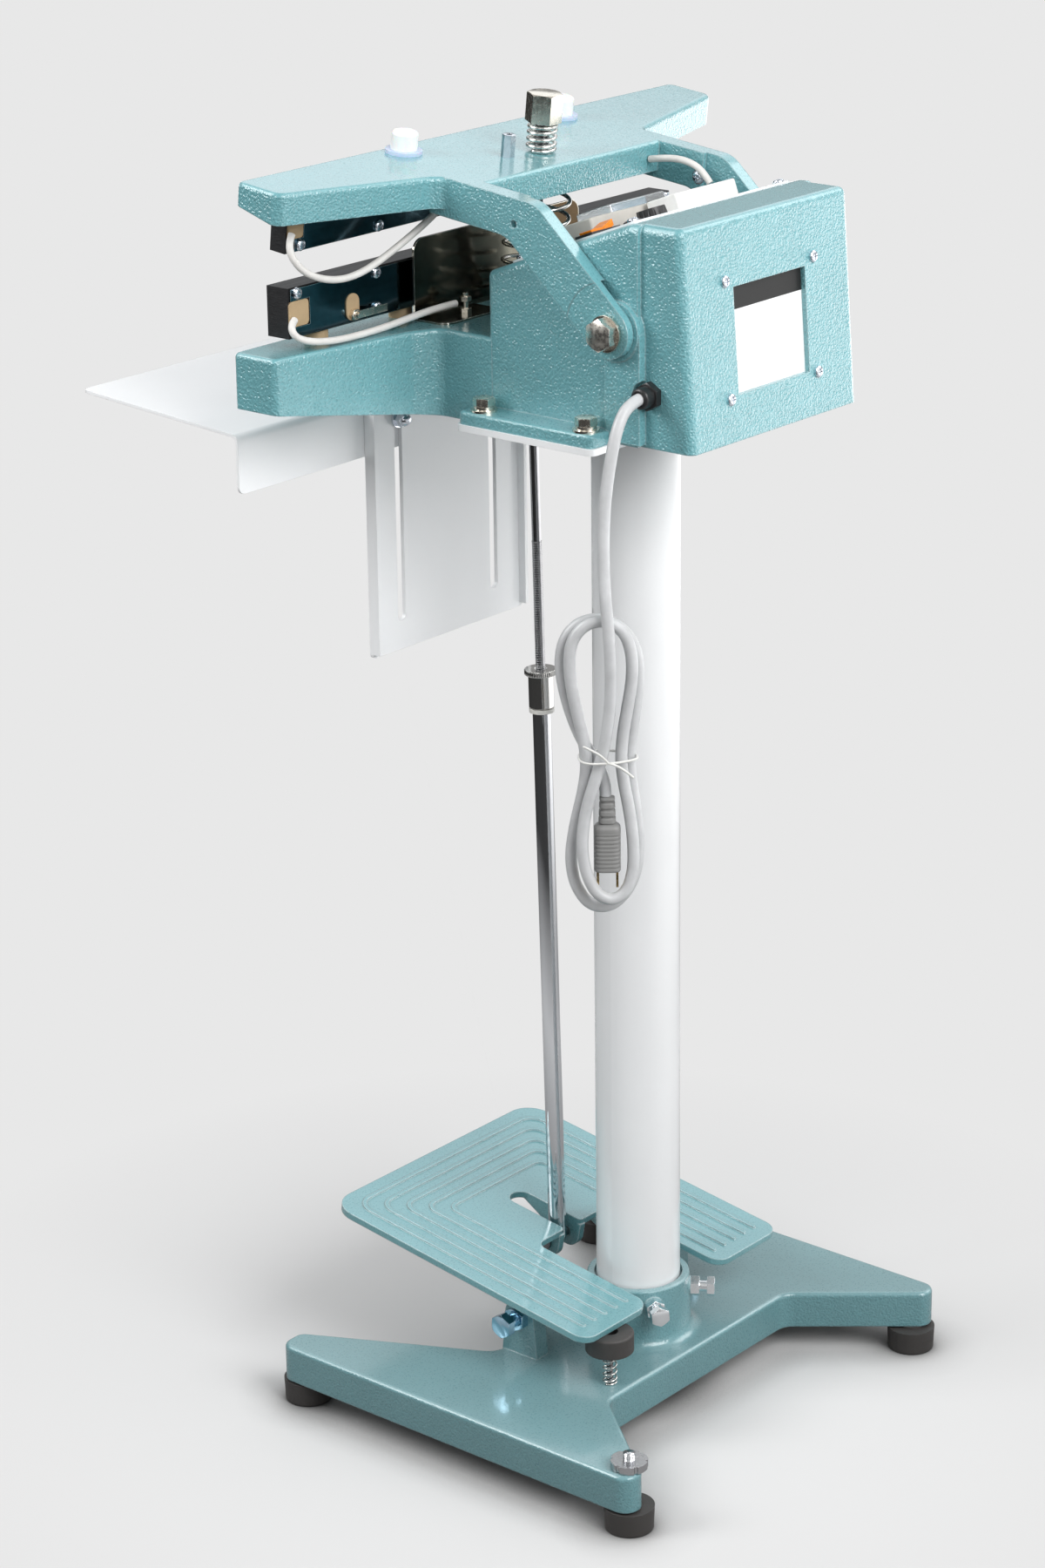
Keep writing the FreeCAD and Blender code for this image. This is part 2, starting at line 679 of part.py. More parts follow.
def coil(radius, wire, length, turns, base, axis, sides=6):
    """Compression spring: wire of a few flats carried along a helix, between two flat planes."""
    height = length - wire
    path = Part.makeHelix(height / turns, height, radius)
    corners = [V(radius + wire / 2 * math.cos(2 * math.pi * i / sides), 0,
                 wire / 2 * math.sin(2 * math.pi * i / sides)) for i in range(sides)]
    section = Part.makePolygon(corners + [corners[0]])
    spring = Part.Wire(path.Edges).makePipeShell([section], True, True)
    spring.translate(V(0, 0, wire / 2))
    return aim(spring, base, axis)


def tube_along(points, radius, name):
    """Round cord along straight runs joined by tangent arcs as large as the runs allow."""
    route = [V(*p) for p in points]
    edges = []
    start = route[0]
    radii = []
    for i in range(1, len(route) - 1):
        back = route[i - 1] - route[i]
        ahead = route[i + 1] - route[i]
        turn = math.pi - back.getAngle(ahead)
        shorter = min(back.Length, ahead.Length)
        bend = 0.45 * shorter / math.tan(turn / 2)
        radii.append(bend)
        back.normalize()
        ahead.normalize()
        middle = back + ahead
        middle.normalize()
        entry = route[i] + back * 0.45 * shorter
        leave = route[i] + ahead * 0.45 * shorter
        top = route[i] + middle * (bend / math.cos(turn / 2) - bend)
        edges.append(Part.LineSegment(start, entry).toShape())
        edges.append(Part.Arc(entry, top, leave).toShape())
        start = leave
    edges.append(Part.LineSegment(start, route[-1]).toShape())
    path = Part.Wire(edges)
    first = route[1] - route[0]
    section = Part.Wire(Part.Circle(route[0], first, radius).toShape())
    body = path.makePipeShell([section], True, True)
    share = body.Volume / (math.pi * radius ** 2 * path.Length)
    print(name, "length", round(path.Length), "volume share", round(share, 4),
          "radii", [round(r) for r in radii])
    return body


nodes = {}


def keep(name, *shapes):
    """Moves the solids of one named piece to the middle of the box and writes them down."""
    solids = [solid for shape in shapes for solid in shape.Solids]
    piece = Part.makeCompound(solids) if len(solids) > 1 else solids[0]
    piece = piece.copy()
    piece.translate(V(0, place_y, 0))
    nodes[name] = piece


def mirror_x(shape):
    return shape.mirror(V(0, 0, 0), X_AXIS)


def pair(shape):
    """A shape and its mirror image across the middle plane."""
    return [shape, mirror_x(shape)]


def opened(shape):
    """From the level, closed place of the jaw to its open rest place."""
    piece = shape.copy()
    piece.rotate(V(0, PIVOT_Y, PIVOT_Z), X_AXIS, -OPEN_ANGLE)
    return piece


def on_pedal(shape):
    """From the pedal's flat drawing, top face at height 0, to its place."""
    piece = shape.copy()
    piece.rotate(V(0, 0, 0), X_AXIS, -PEDAL_SLOPE)
    piece.translate(V(0, 0, PEDAL_Z))
    return piece


def pedal_flat(y, z):
    """A place in the pedal's flat drawing, from its real one."""
    angle = math.radians(PEDAL_SLOPE)
    up = z - PEDAL_Z
    return (y * math.cos(angle) - up * math.sin(angle), y * math.sin(angle) + up * math.cos(angle))


slope_angle = math.degrees(math.atan2(HOUSING_RIDGE[1] - SLOPE_START[1], HOUSING_RIDGE[0] - SLOPE_START[0]))


def on_slope(shape):
    """From a flat drawing (x, distance up, height) to the housing's sloping face."""
    piece = shape.copy()
    piece.rotate(V(0, 0, 0), X_AXIS, slope_angle)
    piece.translate(V(0, SLOPE_START[0], SLOPE_START[1]))
    return piece


rear_lean = math.degrees(math.atan2(HOUSING_REAR_BOTTOM_Y - HOUSING_REAR_TOP_Y,
                                    HOUSING_RIDGE[1] - FLANGE_BOTTOM))


def on_rear(shape):
    """From a drawing with the rear wall's outer face at y = 0, heights above FLANGE_BOTTOM."""
    piece = shape.copy()
    piece.rotate(V(0, 0, 0), X_AXIS, rear_lean)
    piece.translate(V(0, HOUSING_REAR_BOTTOM_Y, FLANGE_BOTTOM))
    return piece


rod_axis = V(0, ROD_TOP_Y - PIN_Y, ROD_TOP_Z - PIN_Z)
rod_length = rod_axis.Length
rod_axis.normalize()


def on_rod(shape):
    """From a drawing about +Z, the pedal pin at height 0, to the leaning pull rod."""
    return aim(shape.copy(), V(0, PIN_Y, PIN_Z), rod_axis)


# base

def base_points():
    return both_sides([(BASE_WAIST_FRONT[0], BASE_WAIST_FRONT[1]), (BASE_TIP_FRONT_X, BASE_FRONT),
                       (BASE_HALF_X, BASE_FRONT), (BASE_HALF_X, BASE_BACK),
                       (BASE_TIP_BACK_X, BASE_BACK), (BASE_WAIST_BACK[0], BASE_WAIST_BACK[1])])


def base_radii():
    half = [BASE_WAIST_R, BASE_TIP_R, BASE_OUTER_R, BASE_OUTER_R, BASE_TIP_R, BASE_WAIST_R]
    return half + half[::-1]


foot_places = [(FOOT_X, FOOT_FRONT), (-FOOT_X, FOOT_FRONT), (-FOOT_X, FOOT_BACK)]
level_place = (FOOT_X, FOOT_BACK)
post_inner = LUG_INNER_X + LUG_THICK + POST_GAP


def hinge_post():
    front = HINGE_Y - POST_R
    back = HINGE_Y + POST_R
    foot = BASE_TOP - PAST
    points = [(front - POST_SPREAD, foot), (front, HINGE_Z + POST_R), (back, HINGE_Z + POST_R),
              (back + POST_SPREAD, foot)]
    post = prism_x(points, post_inner, post_inner + POST_THICK, [0, POST_R - FIT, POST_R - FIT, 0])
    return post.cut(cylinder(M10_R + FIT, POST_THICK, V(post_inner, HINGE_Y, HINGE_Z), X_AXIS))


def base_pocket():
    """Hollow underside, with the feet's, socket's and bumper's bosses and the ribs left standing."""
    height = BASE_TOP - BASE_WALL - BASE_BOTTOM
    pocket = inset(base_points(), base_radii(), BASE_WALL).extrude(V(0, 0, height))
    pocket.translate(V(0, 0, BASE_BOTTOM))
    bosses = [cylinder(FOOT_BOSS_R, BASE_HEIGHT, V(x, y, BASE_BOTTOM))
              for x, y in foot_places + [level_place]]
    bosses.append(cylinder(SOCKET_FOOT_R, BASE_HEIGHT, V(0, 0, BASE_BOTTOM)))
    bosses.append(cylinder(M5_R * 3, BASE_HEIGHT, V(BUMPER_X, BUMPER_Y, BASE_BOTTOM)))
    low = BASE_BOTTOM + BASE_RIB_LIFT
    half = RIB_THICK / 2
    bosses.append(block(-BASE_RIB_X, BASE_RIB_X, -half, half, low, BASE_TOP - PAST))
    for x in (-FOOT_X, FOOT_X):
        bosses.append(block(x - half, x + half, FOOT_FRONT, FOOT_BACK, low, BASE_TOP - PAST))
    return pocket.cut(bosses)


def socket():
    """Collar of the pole with a fillet at its foot and the pads of its set bolts."""
    spread = SOCKET_FOOT_R + SOCKET_SPREAD
    collar = turned([(0, BASE_TOP - PAST), (spread, BASE_TOP - PAST), (spread, BASE_TOP),
                     (SOCKET_FOOT_R, BASE_TOP), (SOCKET_TOP_R, SOCKET_TOP), (0, SOCKET_TOP)],
                    [0, 0, 0, SOCKET_FILLET, SOCKET_EDGE_R, 0])
    start = POLE_R + SOCKET_WALL / 2
    pads = [cylinder(SET_BOLT_PAD_R, SET_BOLT_SEAT - start, set_bolt_point(angle, start), outward(angle))
            for angle in SET_BOLT_ANGLES]
    return [collar] + pads


def base_casting():
    body = prism_z(base_points(), BASE_BOTTOM, BASE_TOP, base_radii())
    body = round_top(body, BASE_TOP, BASE_EDGE_R)
    body = fuse([body.cut(base_pocket())] + socket() + pair(hinge_post()))
    core = SOCKET_FLOOR - BASE_WALL - BASE_BOTTOM
    mouth = cylinder(POLE_R + SOCKET_MOUTH, SOCKET_MOUTH_DEPTH, V(0, 0, SOCKET_TOP - SOCKET_MOUTH_DEPTH))
    holes = [cylinder(POLE_R + FIT, BIG, V(0, 0, SOCKET_FLOOR)), mouth,
             cylinder(POLE_R - SOCKET_WALL, core, V(0, 0, BASE_BOTTOM))]
    for x, y in foot_places:
        holes.append(cylinder(M6_R + FIT, STUD_DEPTH + PAST, V(x, y, BASE_BOTTOM)))
    holes.append(cylinder(M6_R + FIT, BIG, V(level_place[0], level_place[1], BASE_BOTTOM)))
    holes.append(cylinder(M5_R + FIT, BIG, V(BUMPER_X, BUMPER_Y, BASE_BOTTOM + BASE_WALL)))
    for angle in SET_BOLT_ANGLES:
        holes.append(cylinder(M8_R + FIT, SET_BOLT_SEAT, V(0, 0, SET_BOLT_Z), outward(angle)))
    return body.cut(holes)


def rubber_foot(place):
    profile = [(0, 0), (FOOT_SOLE_R, 0), (FOOT_R, FOOT_HEIGHT), (0, FOOT_HEIGHT)]
    return turned(profile, [0, FOOT_EDGE_R, 0, 0], V(place[0], place[1], 0))


def foot_stud(place, reach):
    plate = cylinder(FOOT_PLATE_R, FOOT_PLATE, V(place[0], place[1], FOOT_HEIGHT))
    return plate.fuse(cylinder(M6_R, reach, V(place[0], place[1], BASE_BOTTOM)))


def round_nut(place):
    body = turned([(0, 0), (ROUND_NUT_R, 0), (ROUND_NUT_R, ROUND_NUT), (0, ROUND_NUT)])
    notches = [cylinder(ROUND_NUT_NOTCH_R, BIG, around(ROUND_NUT_R, i, ROUND_NUT_NOTCHES, -PAST))
               for i in range(ROUND_NUT_NOTCHES)]
    body = body.cut(notches + [cylinder(M6_R + FIT, BIG, V(0, 0, -PAST))])
    return aim(body, V(place[0], place[1], BASE_TOP + LOOSE), Z_AXIS)


def make_base():
    keep("base_casting", base_casting())
    studs = [foot_stud(place, STUD_DEPTH) for place in foot_places]
    keep("rubber_feet", *([rubber_foot(place) for place in foot_places] + studs))
    level_reach = BASE_TOP - BASE_BOTTOM + ROUND_NUT + STUD_ABOVE_NUT
    keep("levelling_foot", rubber_foot(level_place), foot_stud(level_place, level_reach))
    keep("levelling_nut", round_nut(level_place))


# pole

def outward(angle):
    return V(math.cos(math.radians(angle)), math.sin(math.radians(angle)), 0)


def set_bolt_point(angle, away):
    """A point on a set bolt's axis, so far from the pole's."""
    return outward(angle) * away + V(0, 0, SET_BOLT_Z)


def set_bolt(angle):
    seat = SET_BOLT_SEAT + SET_BOLT_STAND
    reach = seat - POLE_R - 2 * FIT
    return hex_bolt(M8_AF, M8_HEAD, M8_R, reach, set_bolt_point(angle, seat), outward(angle))


def set_bolt_nut(angle):
    return hex_nut(M8_AF, M8_R + FIT, M8_NUT, set_bolt_point(angle, SET_BOLT_SEAT), outward(angle))


def make_pole():
    keep("pole_tube", ring(POLE_R, POLE_R - POLE_WALL, POLE_TOP - SOCKET_FLOOR, V(0, 0, SOCKET_FLOOR)))
    plate = block(-PLATE_HALF_X, PLATE_HALF_X, PLATE_FRONT, PLATE_BACK, POLE_TOP, FLANGE_BOTTOM, PLATE_R)
    keep("pole_plate", plate.cut(flange_holes(POLE_TOP)))
    nut_x = post_inner + POST_THICK
    hinge_nut = hex_nut(M10_AF, M10_R + FIT, M10_NUT, V(nut_x, HINGE_Y, HINGE_Z), X_AXIS)
    keep("set_bolts", *([set_bolt(a) for a in SET_BOLT_ANGLES] + pair(hinge_bolt())))
    keep("locknuts", *([set_bolt_nut(a) for a in SET_BOLT_ANGLES] + pair(hinge_nut)))


def flange_places():
    return [(x, y) for x in (-FLANGE_BOLT_X, FLANGE_BOLT_X) for y in (-FLANGE_BOLT_Y, FLANGE_BOLT_Y)]


def flange_holes(bottom):
    height = FLANGE_TOP - bottom + 2 * PAST
    return [cylinder(M8_R + FIT, height, V(x, y, bottom - PAST)) for x, y in flange_places()]


# pedal

def pedal_points():
    return both_sides([(PEDAL_SLOT_HALF, PEDAL_SLOT_FRONT), (PEDAL_SLOT_HALF, PEDAL_NOTCH_FRONT),
                       (PEDAL_NOTCH_X, PEDAL_NOTCH_FRONT), (PEDAL_NOTCH_X, PEDAL_BACK),
                       (PEDAL_HALF_X, PEDAL_BACK), (PEDAL_HALF_X, PEDAL_FRONT)])


def bead(index):
    """One raised U on the tread, set in from the edge by the pitch."""
    x = BEAD_X - index * BEAD_PITCH
    front = BEAD_FRONT + index * BEAD_PITCH
    back = BEAD_BACK
    half = BEAD_WIDTH / 2
    bend = BEAD_R - index * BEAD_R_STEP
    outer = prism_z(rectangle(-x - half, x + half, front - half, back), -FIT, BEAD_HEIGHT,
                    [bend + half, bend + half, half, half])
    inner = prism_z(rectangle(-x + half, x - half, front + half, BIG), -PAST, BEAD_HEIGHT + PAST,
                    [bend - half, bend - half, 0, 0])
    return outer.cut(inner)


def pedal_lug():
    """Hinge lug under a prong, round about the hinge."""
    y, z = pedal_flat(HINGE_Y, HINGE_Z)
    top = -PEDAL_THICK + PAST
    points = [(y - LUG_R - LUG_SPREAD, top), (y - LUG_R, z - LUG_R), (y + LUG_R, z - LUG_R),
              (y + LUG_R + LUG_SPREAD, top)]
    return prism_x(points, LUG_INNER_X, LUG_INNER_X + LUG_THICK, [0, LUG_BEND_R, LUG_BEND_R, 0])


def pedal_ear():
    """Ear beside the slot that holds one end of the rod's pin."""
    y, z = pedal_flat(PIN_Y, PIN_Z)
    top = -PEDAL_THICK + PAST
    bottom = z - EAR_DEPTH
    points = [(PEDAL_SLOT_FRONT, top), (y - EAR_FRONT, z), (y - PIN_R - EAR_THICK, bottom),
              (y + EAR_BACK - PAST, bottom), (y + EAR_BACK, top)]
    return prism_x(points, PEDAL_SLOT_HALF, PEDAL_SLOT_HALF + EAR_THICK, [0, EAR_EDGE_R, EAR_EDGE_R, EAR_BACK_R, 0])


def pedal_plate():
    radii = [PEDAL_SLOT_HALF - FIT, PEDAL_SLOT_BACK_R, PEDAL_NOTCH_R, PEDAL_PRONG_R, PEDAL_PRONG_R,
             PEDAL_FRONT_R]
    plate = prism_z(pedal_points(), -PEDAL_THICK, 0, radii + radii[::-1])
    beads = [bead(i) for i in range(BEAD_COUNT)]
    body = fuse([plate] + pair(pedal_lug()) + pair(pedal_ear()) + beads)
    hinge_y, hinge_z = pedal_flat(HINGE_Y, HINGE_Z)
    pin_y, pin_z = pedal_flat(PIN_Y, PIN_Z)
    holes = [cylinder(M10_R + FIT, BIG, V(-BIG / 2, hinge_y, hinge_z), X_AXIS),
             cylinder(PIN_R + FIT, BIG, V(-BIG / 2, pin_y, pin_z), X_AXIS)]
    return on_pedal(body.cut(holes))


def hinge_bolt():
    """Pivot bolt screwed through a post; its plain tip carries the pedal's lug."""
    seat_x = post_inner + POST_THICK + M10_NUT + HINGE_BOLT_STAND
    reach = seat_x - LUG_INNER_X - PAST
    return hex_bolt(M10_AF, M10_HEAD, M10_R, reach, V(seat_x, HINGE_Y, HINGE_Z), X_AXIS)


def rod_pin():
    half = PEDAL_SLOT_HALF + EAR_THICK
    pin = cylinder(PIN_R, 2 * (half + PIN_HEAD), V(-half - PIN_HEAD, PIN_Y, PIN_Z), X_AXIS)
    head = cylinder(PIN_R + PIN_HEAD, PIN_HEAD, V(half, PIN_Y, PIN_Z), X_AXIS)
    clip = cylinder(PIN_R + PIN_CLIP, PIN_CLIP, V(-half - PIN_CLIP, PIN_Y, PIN_Z), X_AXIS)
    return fuse([pin, head, clip])


def bumper_pad():
    profile = [(M5_R + FIT, 0), (BUMPER_R, 0), (BUMPER_R, BUMPER_HEIGHT), (BUMPER_WELL_R, BUMPER_HEIGHT),
               (BUMPER_WELL_R, BUMPER_FLOOR), (M5_R + FIT, BUMPER_FLOOR)]
    return turned(profile, [0, BUMPER_FOOT_R, BUMPER_RIM_R, 0, 0, 0], V(BUMPER_X, BUMPER_Y, bumper_bottom))


def bumper_screw():
    seat = bumper_bottom + BUMPER_FLOOR + LOOSE
    low = BASE_BOTTOM + BUMPER_SCREW_SINK
    screw = cylinder(M5_R, seat - low, V(BUMPER_X, BUMPER_Y, low))
    head = cylinder(M5_HEAD_R, M5_HEAD, V(BUMPER_X, BUMPER_Y, seat))
    key = hexagon(M5_KEY, M5_HEAD, V(BUMPER_X, BUMPER_Y, seat + M5_HEAD - M5_KEY_DEPTH))
    return fuse([screw, head]).cut(key)


def make_pedal():
    keep("pedal_plate", pedal_plate())
    keep("rod_pin", rod_pin())
    keep("bumper_pad", bumper_pad())
    keep("bumper_screw", bumper_screw())
    spring = bumper_bottom - BASE_TOP - 2 * TOUCH
    keep("bumper_spring", coil(BUMPER_SPRING_R - BUMPER_WIRE / 2, BUMPER_WIRE, spring, BUMPER_TURNS,
                               V(BUMPER_X, BUMPER_Y, BASE_TOP + TOUCH), Z_AXIS))


# pull rod

def pull_tube():
    tube = cylinder(TUBE_R, TUBE_LENGTH, V(0, 0, 0)).fuse(Part.makeSphere(TUBE_R))
    tube = tube.cut([cylinder(TUBE_BORE_R, BIG, V(0, 0, TUBE_FLOOR)),
                     cylinder(PIN_R + FIT, BIG, V(-BIG / 2, 0, 0), X_AXIS)])
    return on_rod(tube)


def rod_fork():
    bottom = rod_length - FORK_LENGTH
    top = rod_length + FORK_REACH
    fork = block(-FORK_HALF_X, FORK_HALF_X, -FORK_HALF_Y, FORK_HALF_Y, bottom, top, FORK_EDGE_R)
    points = rectangle(-FORK_HALF_Y, FORK_HALF_Y, bottom - PAST, top)
    bend = FORK_HALF_Y - FIT
    fork = fork.common(prism_x(points, -FORK_HALF_X, FORK_HALF_X, [0, 0, bend, bend]))
    slot = block(-FORK_GAP, FORK_GAP, -BIG, BIG, rod_length - FORK_SLOT_DEPTH, BIG)
    hole = cylinder(FORK_PIN_R + FIT, BIG, V(-BIG / 2, 0, rod_length), X_AXIS)
    thread = cylinder(ROD_R + FIT, FORK_THREAD, V(0, 0, bottom))
    return on_rod(fork.cut([slot, hole, thread]))


def pull_rod():
    start = TUBE_LENGTH - ROD_IN_TUBE
    end = rod_length - FORK_LENGTH + FORK_THREAD - LOOSE
    return on_rod(cylinder(ROD_R, end - start, V(0, 0, start)))


def fork_pin():
    half = FORK_HALF_X + FORK_PIN_HEAD
    pin = fuse([cylinder(FORK_PIN_R, 2 * half, V(-half, 0, rod_length), X_AXIS),
                cylinder(FORK_PIN_R + FORK_PIN_HEAD, FORK_PIN_HEAD, V(FORK_HALF_X, 0, rod_length), X_AXIS),
                cylinder(FORK_PIN_R + PIN_CLIP, PAST, V(-FORK_HALF_X - PAST, 0, rod_length), X_AXIS)])
    return on_rod(pin)


def adjusting_nut():
    top = ADJUST_LENGTH + ADJUST_FLANGE
    body = turned([(0, 0), (RING_R, 0), (RING_R, ADJUST_LENGTH), (ADJUST_FLANGE_R, ADJUST_LENGTH),
                   (ADJUST_FLANGE_R, top), (0, top)])
    low = ADJUST_LENGTH - PAST
    grooves = [cylinder(ADJUST_GROOVE_R, BIG, around(ADJUST_FLANGE_R, i, ADJUST_GROOVES, low))
               for i in range(ADJUST_GROOVES)]
    body = body.cut(grooves + [cylinder(ROD_R + FIT, BIG, V(0, 0, -PAST))])
    body.translate(V(0, 0, TUBE_LENGTH + RING_THICK + LOOSE))
    return on_rod(body)


def make_pull_rod():
    keep("pull_tube", pull_tube())
    keep("threaded_rod", pull_rod())
    keep("rod_fork", rod_fork(), fork_pin())
    keep("nylon_ring", on_rod(ring(RING_R, ROD_R + FIT, RING_THICK, V(0, 0, TUBE_LENGTH))))
    keep("adjusting_nut", adjusting_nut())


# lower frame

def housing_profile():
    return [(HOUSING_FRONT, FLANGE_BOTTOM), (HOUSING_FRONT, HOUSING_SHOULDER), SLOPE_START, HOUSING_RIDGE,
            (HOUSING_REAR_TOP_Y, HOUSING_RIDGE[1]), (HOUSING_REAR_BOTTOM_Y, FLANGE_BOTTOM)]


def housing_shell():
    """Front and narrower rear parts of the control housing, each with its sides' edges rounded."""
    shapes = []
    for half, y0, y1 in ((HOUSING_HALF_X, -BIG, HOUSING_STEP_Y), (HOUSING_REAR_HALF_X, HOUSING_FRONT, BIG)):
        body = prism_x(housing_profile(), -half, half, HOUSING_RADII)
        edges = [e for e in body.Edges if abs(abs(e.BoundBox.XMin) - half) < 1e-4
                 and abs(e.BoundBox.XMax - e.BoundBox.XMin) < 1e-4 and e.BoundBox.ZMax > FLANGE_TOP
                 and not e.BoundBox.YMax < HOUSING_FRONT + 1e-3]
        edges = [e for e in edges if e.BoundBox.ZMin > FLANGE_TOP or e.BoundBox.YMin > HOUSING_STEP_Y]
        body = body.makeFillet(HOUSING_EDGE_R, edges)
        shapes.append(body.common(block(-BIG, BIG, y0, y1, 0, BIG)))
    return shapes


def wing_plan():
    return both_sides([(WING_HALF_X, WING_FRONT), (WING_HALF_X, WING_TIP_BACK), WING_ROOT,
                       (HOUSING_HALF_X, WING_ROOT[1] + WING_ROOT_STEP),
                       (HOUSING_HALF_X, HOUSING_FRONT + WING_EDGE_R)])


def wing_radii():
    half = [WING_EDGE_R + 1, WING_EDGE_R + 1, WING_ROOT_R, WING_ROOT_R, 0]
    return half + half[::-1]


def wing_front_view():
    tip = WING_HALF_X + WING_EDGE_R
    slope = (WING_TIP_BOTTOM - WING_ROOT_BOTTOM) / (WING_HALF_X - HOUSING_HALF_X)
    low = WING_TIP_BOTTOM + (tip - WING_HALF_X) * slope
    return both_sides([(HOUSING_HALF_X, WING_ROOT_BOTTOM), (tip, low), (tip, DECK_Z + PAST)])


def wing_shell():
    """Hollow beam under the lower bar, deep at the middle and shallow at its tips."""
    body = prism_z(wing_plan(), WING_ROOT_BOTTOM - PAST, DECK_Z, wing_radii())
    body = round_top(body, DECK_Z, WING_EDGE_R - 1)
    body = body.common(prism_y(wing_front_view(), -BIG, BIG))
    hollow = inset(wing_plan(), wing_radii(), WING_WALL).extrude(V(0, 0, DECK_Z - WING_WALL))
    webs = []
    for x in WING_WEB_X:
        webs += pair(block(x - RIB_THICK / 2, x + RIB_THICK / 2, -BIG, BIG,
                           WING_TIP_BOTTOM + WING_WEB_LIFT, BIG))
    return body.cut(hollow.cut(webs))


def pivot_boss():
    start = PIVOT_BOSS_X - PIVOT_BOSS_DEPTH
    boss = cylinder(PIVOT_BOSS_R, PIVOT_BOSS_DEPTH, V(start, PIVOT_Y, PIVOT_Z), X_AXIS)
    pad = block(start, PIVOT_PAD_X, PIVOT_PAD_FRONT, PIVOT_PAD_BACK, FLANGE_BOTTOM + PIVOT_PAD_LIFT, PIVOT_Z)
    return boss.fuse(pad)


def rail_pad():
    points = rectangle(RAIL_PAD_X - RAIL_PAD_HALF, RAIL_PAD_X + RAIL_PAD_HALF, RAIL_PAD_BOTTOM, RAIL_PAD_TOP)
    return prism_y(points, WING_FRONT - RAIL_PAD, WING_FRONT + WING_WALL / 2, RAIL_PAD_R)


def housing_hollow():
    """Cavity of the housing, its opening to the pole's plate and the thin wall behind the window."""
    face = Part.Face(outline(housing_profile(), HOUSING_RADII, lambda p: V(0, p.x, p.y)))
    inner = face.makeOffset2D(-HOUSING_WALL)
    half = HOUSING_REAR_HALF_X - HOUSING_WALL
    inner.translate(V(-half, 0, 0))
    cavity = inner.extrude(V(2 * half, 0, 0))
    opening = block(-half, half, FLANGE_FRONT + FLOOR_HOLE_FRONT, FLANGE_BACK - FLOOR_HOLE_BACK,
                    FLANGE_BOTTOM - PAST, FLANGE_BOTTOM + HOUSING_WALL + PAST, FLOOR_HOLE_R)
    edge = REAR_PLATE_EDGE + REAR_RELIEF_EDGE
    thin_rear = on_rear(block(-REAR_SCREW_X - edge, REAR_SCREW_X + edge, -HOUSING_WALL - REAR_RELIEF,
                              -WINDOW_WALL, WINDOW_BOTTOM - REAR_PLATE_BELOW - REAR_RELIEF,
                              WINDOW_BOTTOM + WINDOW_HEIGHT + REAR_PLATE_ABOVE + REAR_RELIEF))
    return [cavity, opening, thin_rear]


def lower_frame():
    flange = block(-FLANGE_HALF_X, FLANGE_HALF_X, FLANGE_FRONT, FLANGE_BACK, FLANGE_BOTTOM, FLANGE_TOP,
                   PLATE_R)
    flange = round_top(flange, FLANGE_TOP, FLANGE_EDGE_R)
    body = fuse(housing_shell() + [flange] + pair(pivot_boss())).cut(housing_hollow())
    below = block(-BIG, BIG, PLATE_FRONT - 2, BIG, 0, FLANGE_BOTTOM)
    body = fuse([body, wing_shell().cut(below)] + pair(rail_pad()))
    return body.cut(lower_frame_holes())


def lower_frame_holes():
    holes = flange_holes(FLANGE_BOTTOM)
    holes.append(block(-DECK_HOLE_X, DECK_HOLE_X, DECK_HOLE_FRONT, DECK_HOLE_BACK, DECK_Z - 2 * WING_WALL,
                       DECK_Z + PAST, DECK_HOLE_R))
    holes.append(on_rear(block(-WINDOW_HALF_X, WINDOW_HALF_X, -2 * HOUSING_WALL, PAST, WINDOW_BOTTOM,
                               WINDOW_BOTTOM + WINDOW_HEIGHT)))
    for x, up in rear_screw_places():
        holes.append(on_rear(rear_screw_hole(x, up)))
    sink = PIVOT_BOLT_SINK + LOOSE
    holes += pair(cylinder(M12_R + FIT, sink + PAST, V(PIVOT_BOSS_X - sink, PIVOT_Y, PIVOT_Z), X_AXIS))
    place = V(RAIL_PAD_X, RAIL_FRONT, rail_bolt_z)
    holes += pair(cylinder(M6_R + FIT, RAIL_PAD + 4 * WING_WALL, place, Y_AXIS))
    start = HOUSING_REAR_HALF_X - HOUSING_WALL - PAST
    holes.append(cylinder(GLAND_STEM_R + FIT, HOUSING_WALL + 2 * PAST, V(start, GLAND_Y, GLAND_Z), X_AXIS))
    holes.append(cylinder(GLAND_SPOT_R, BIG, V(HOUSING_REAR_HALF_X, GLAND_Y, GLAND_Z), X_AXIS))
    for x in LOWER_SPACER_X:
        under = DECK_Z - WING_WALL
        holes += pair(cylinder(HANGER_R + FIT, WING_WALL + 2 * PAST, V(x, lower_bar_y, under - PAST)))
        holes += pair(cylinder(BOLT_ROOM_R, BIG, V(x, lower_bar_y, under - BIG)))
    for x, up in panel_screw_places():
        holes.append(on_slope(cylinder(M4_R + FIT, M4_DEPTH + PAST, V(x, up, -M4_DEPTH))))
    depth = TERMINAL_BELOW + PAST
    holes += pair(cylinder(M4_R + FIT, depth + PAST, V(TERMINAL_X, TERMINAL_Y, DECK_Z - depth)))
    holes.append(on_slope(block(*switch_rect(2 * LOOSE), -2 * HOUSING_WALL, PAST)))
    return holes


rail_bolt_z = (RAIL_PAD_BOTTOM + RAIL_PAD_TOP) / 2
lower_bar_y = LOWER_BAR_FRONT + LOWER_BAR_THICK / 2


def rear_screw_hole(x, up):
    return cylinder(M4_R + FIT, 2 * HOUSING_WALL, V(x, PAST - 2 * HOUSING_WALL, up), Y_AXIS)


def rear_screw_places():
    return [(x, up) for x in (-REAR_SCREW_X, REAR_SCREW_X) for up in REAR_SCREW_UP]


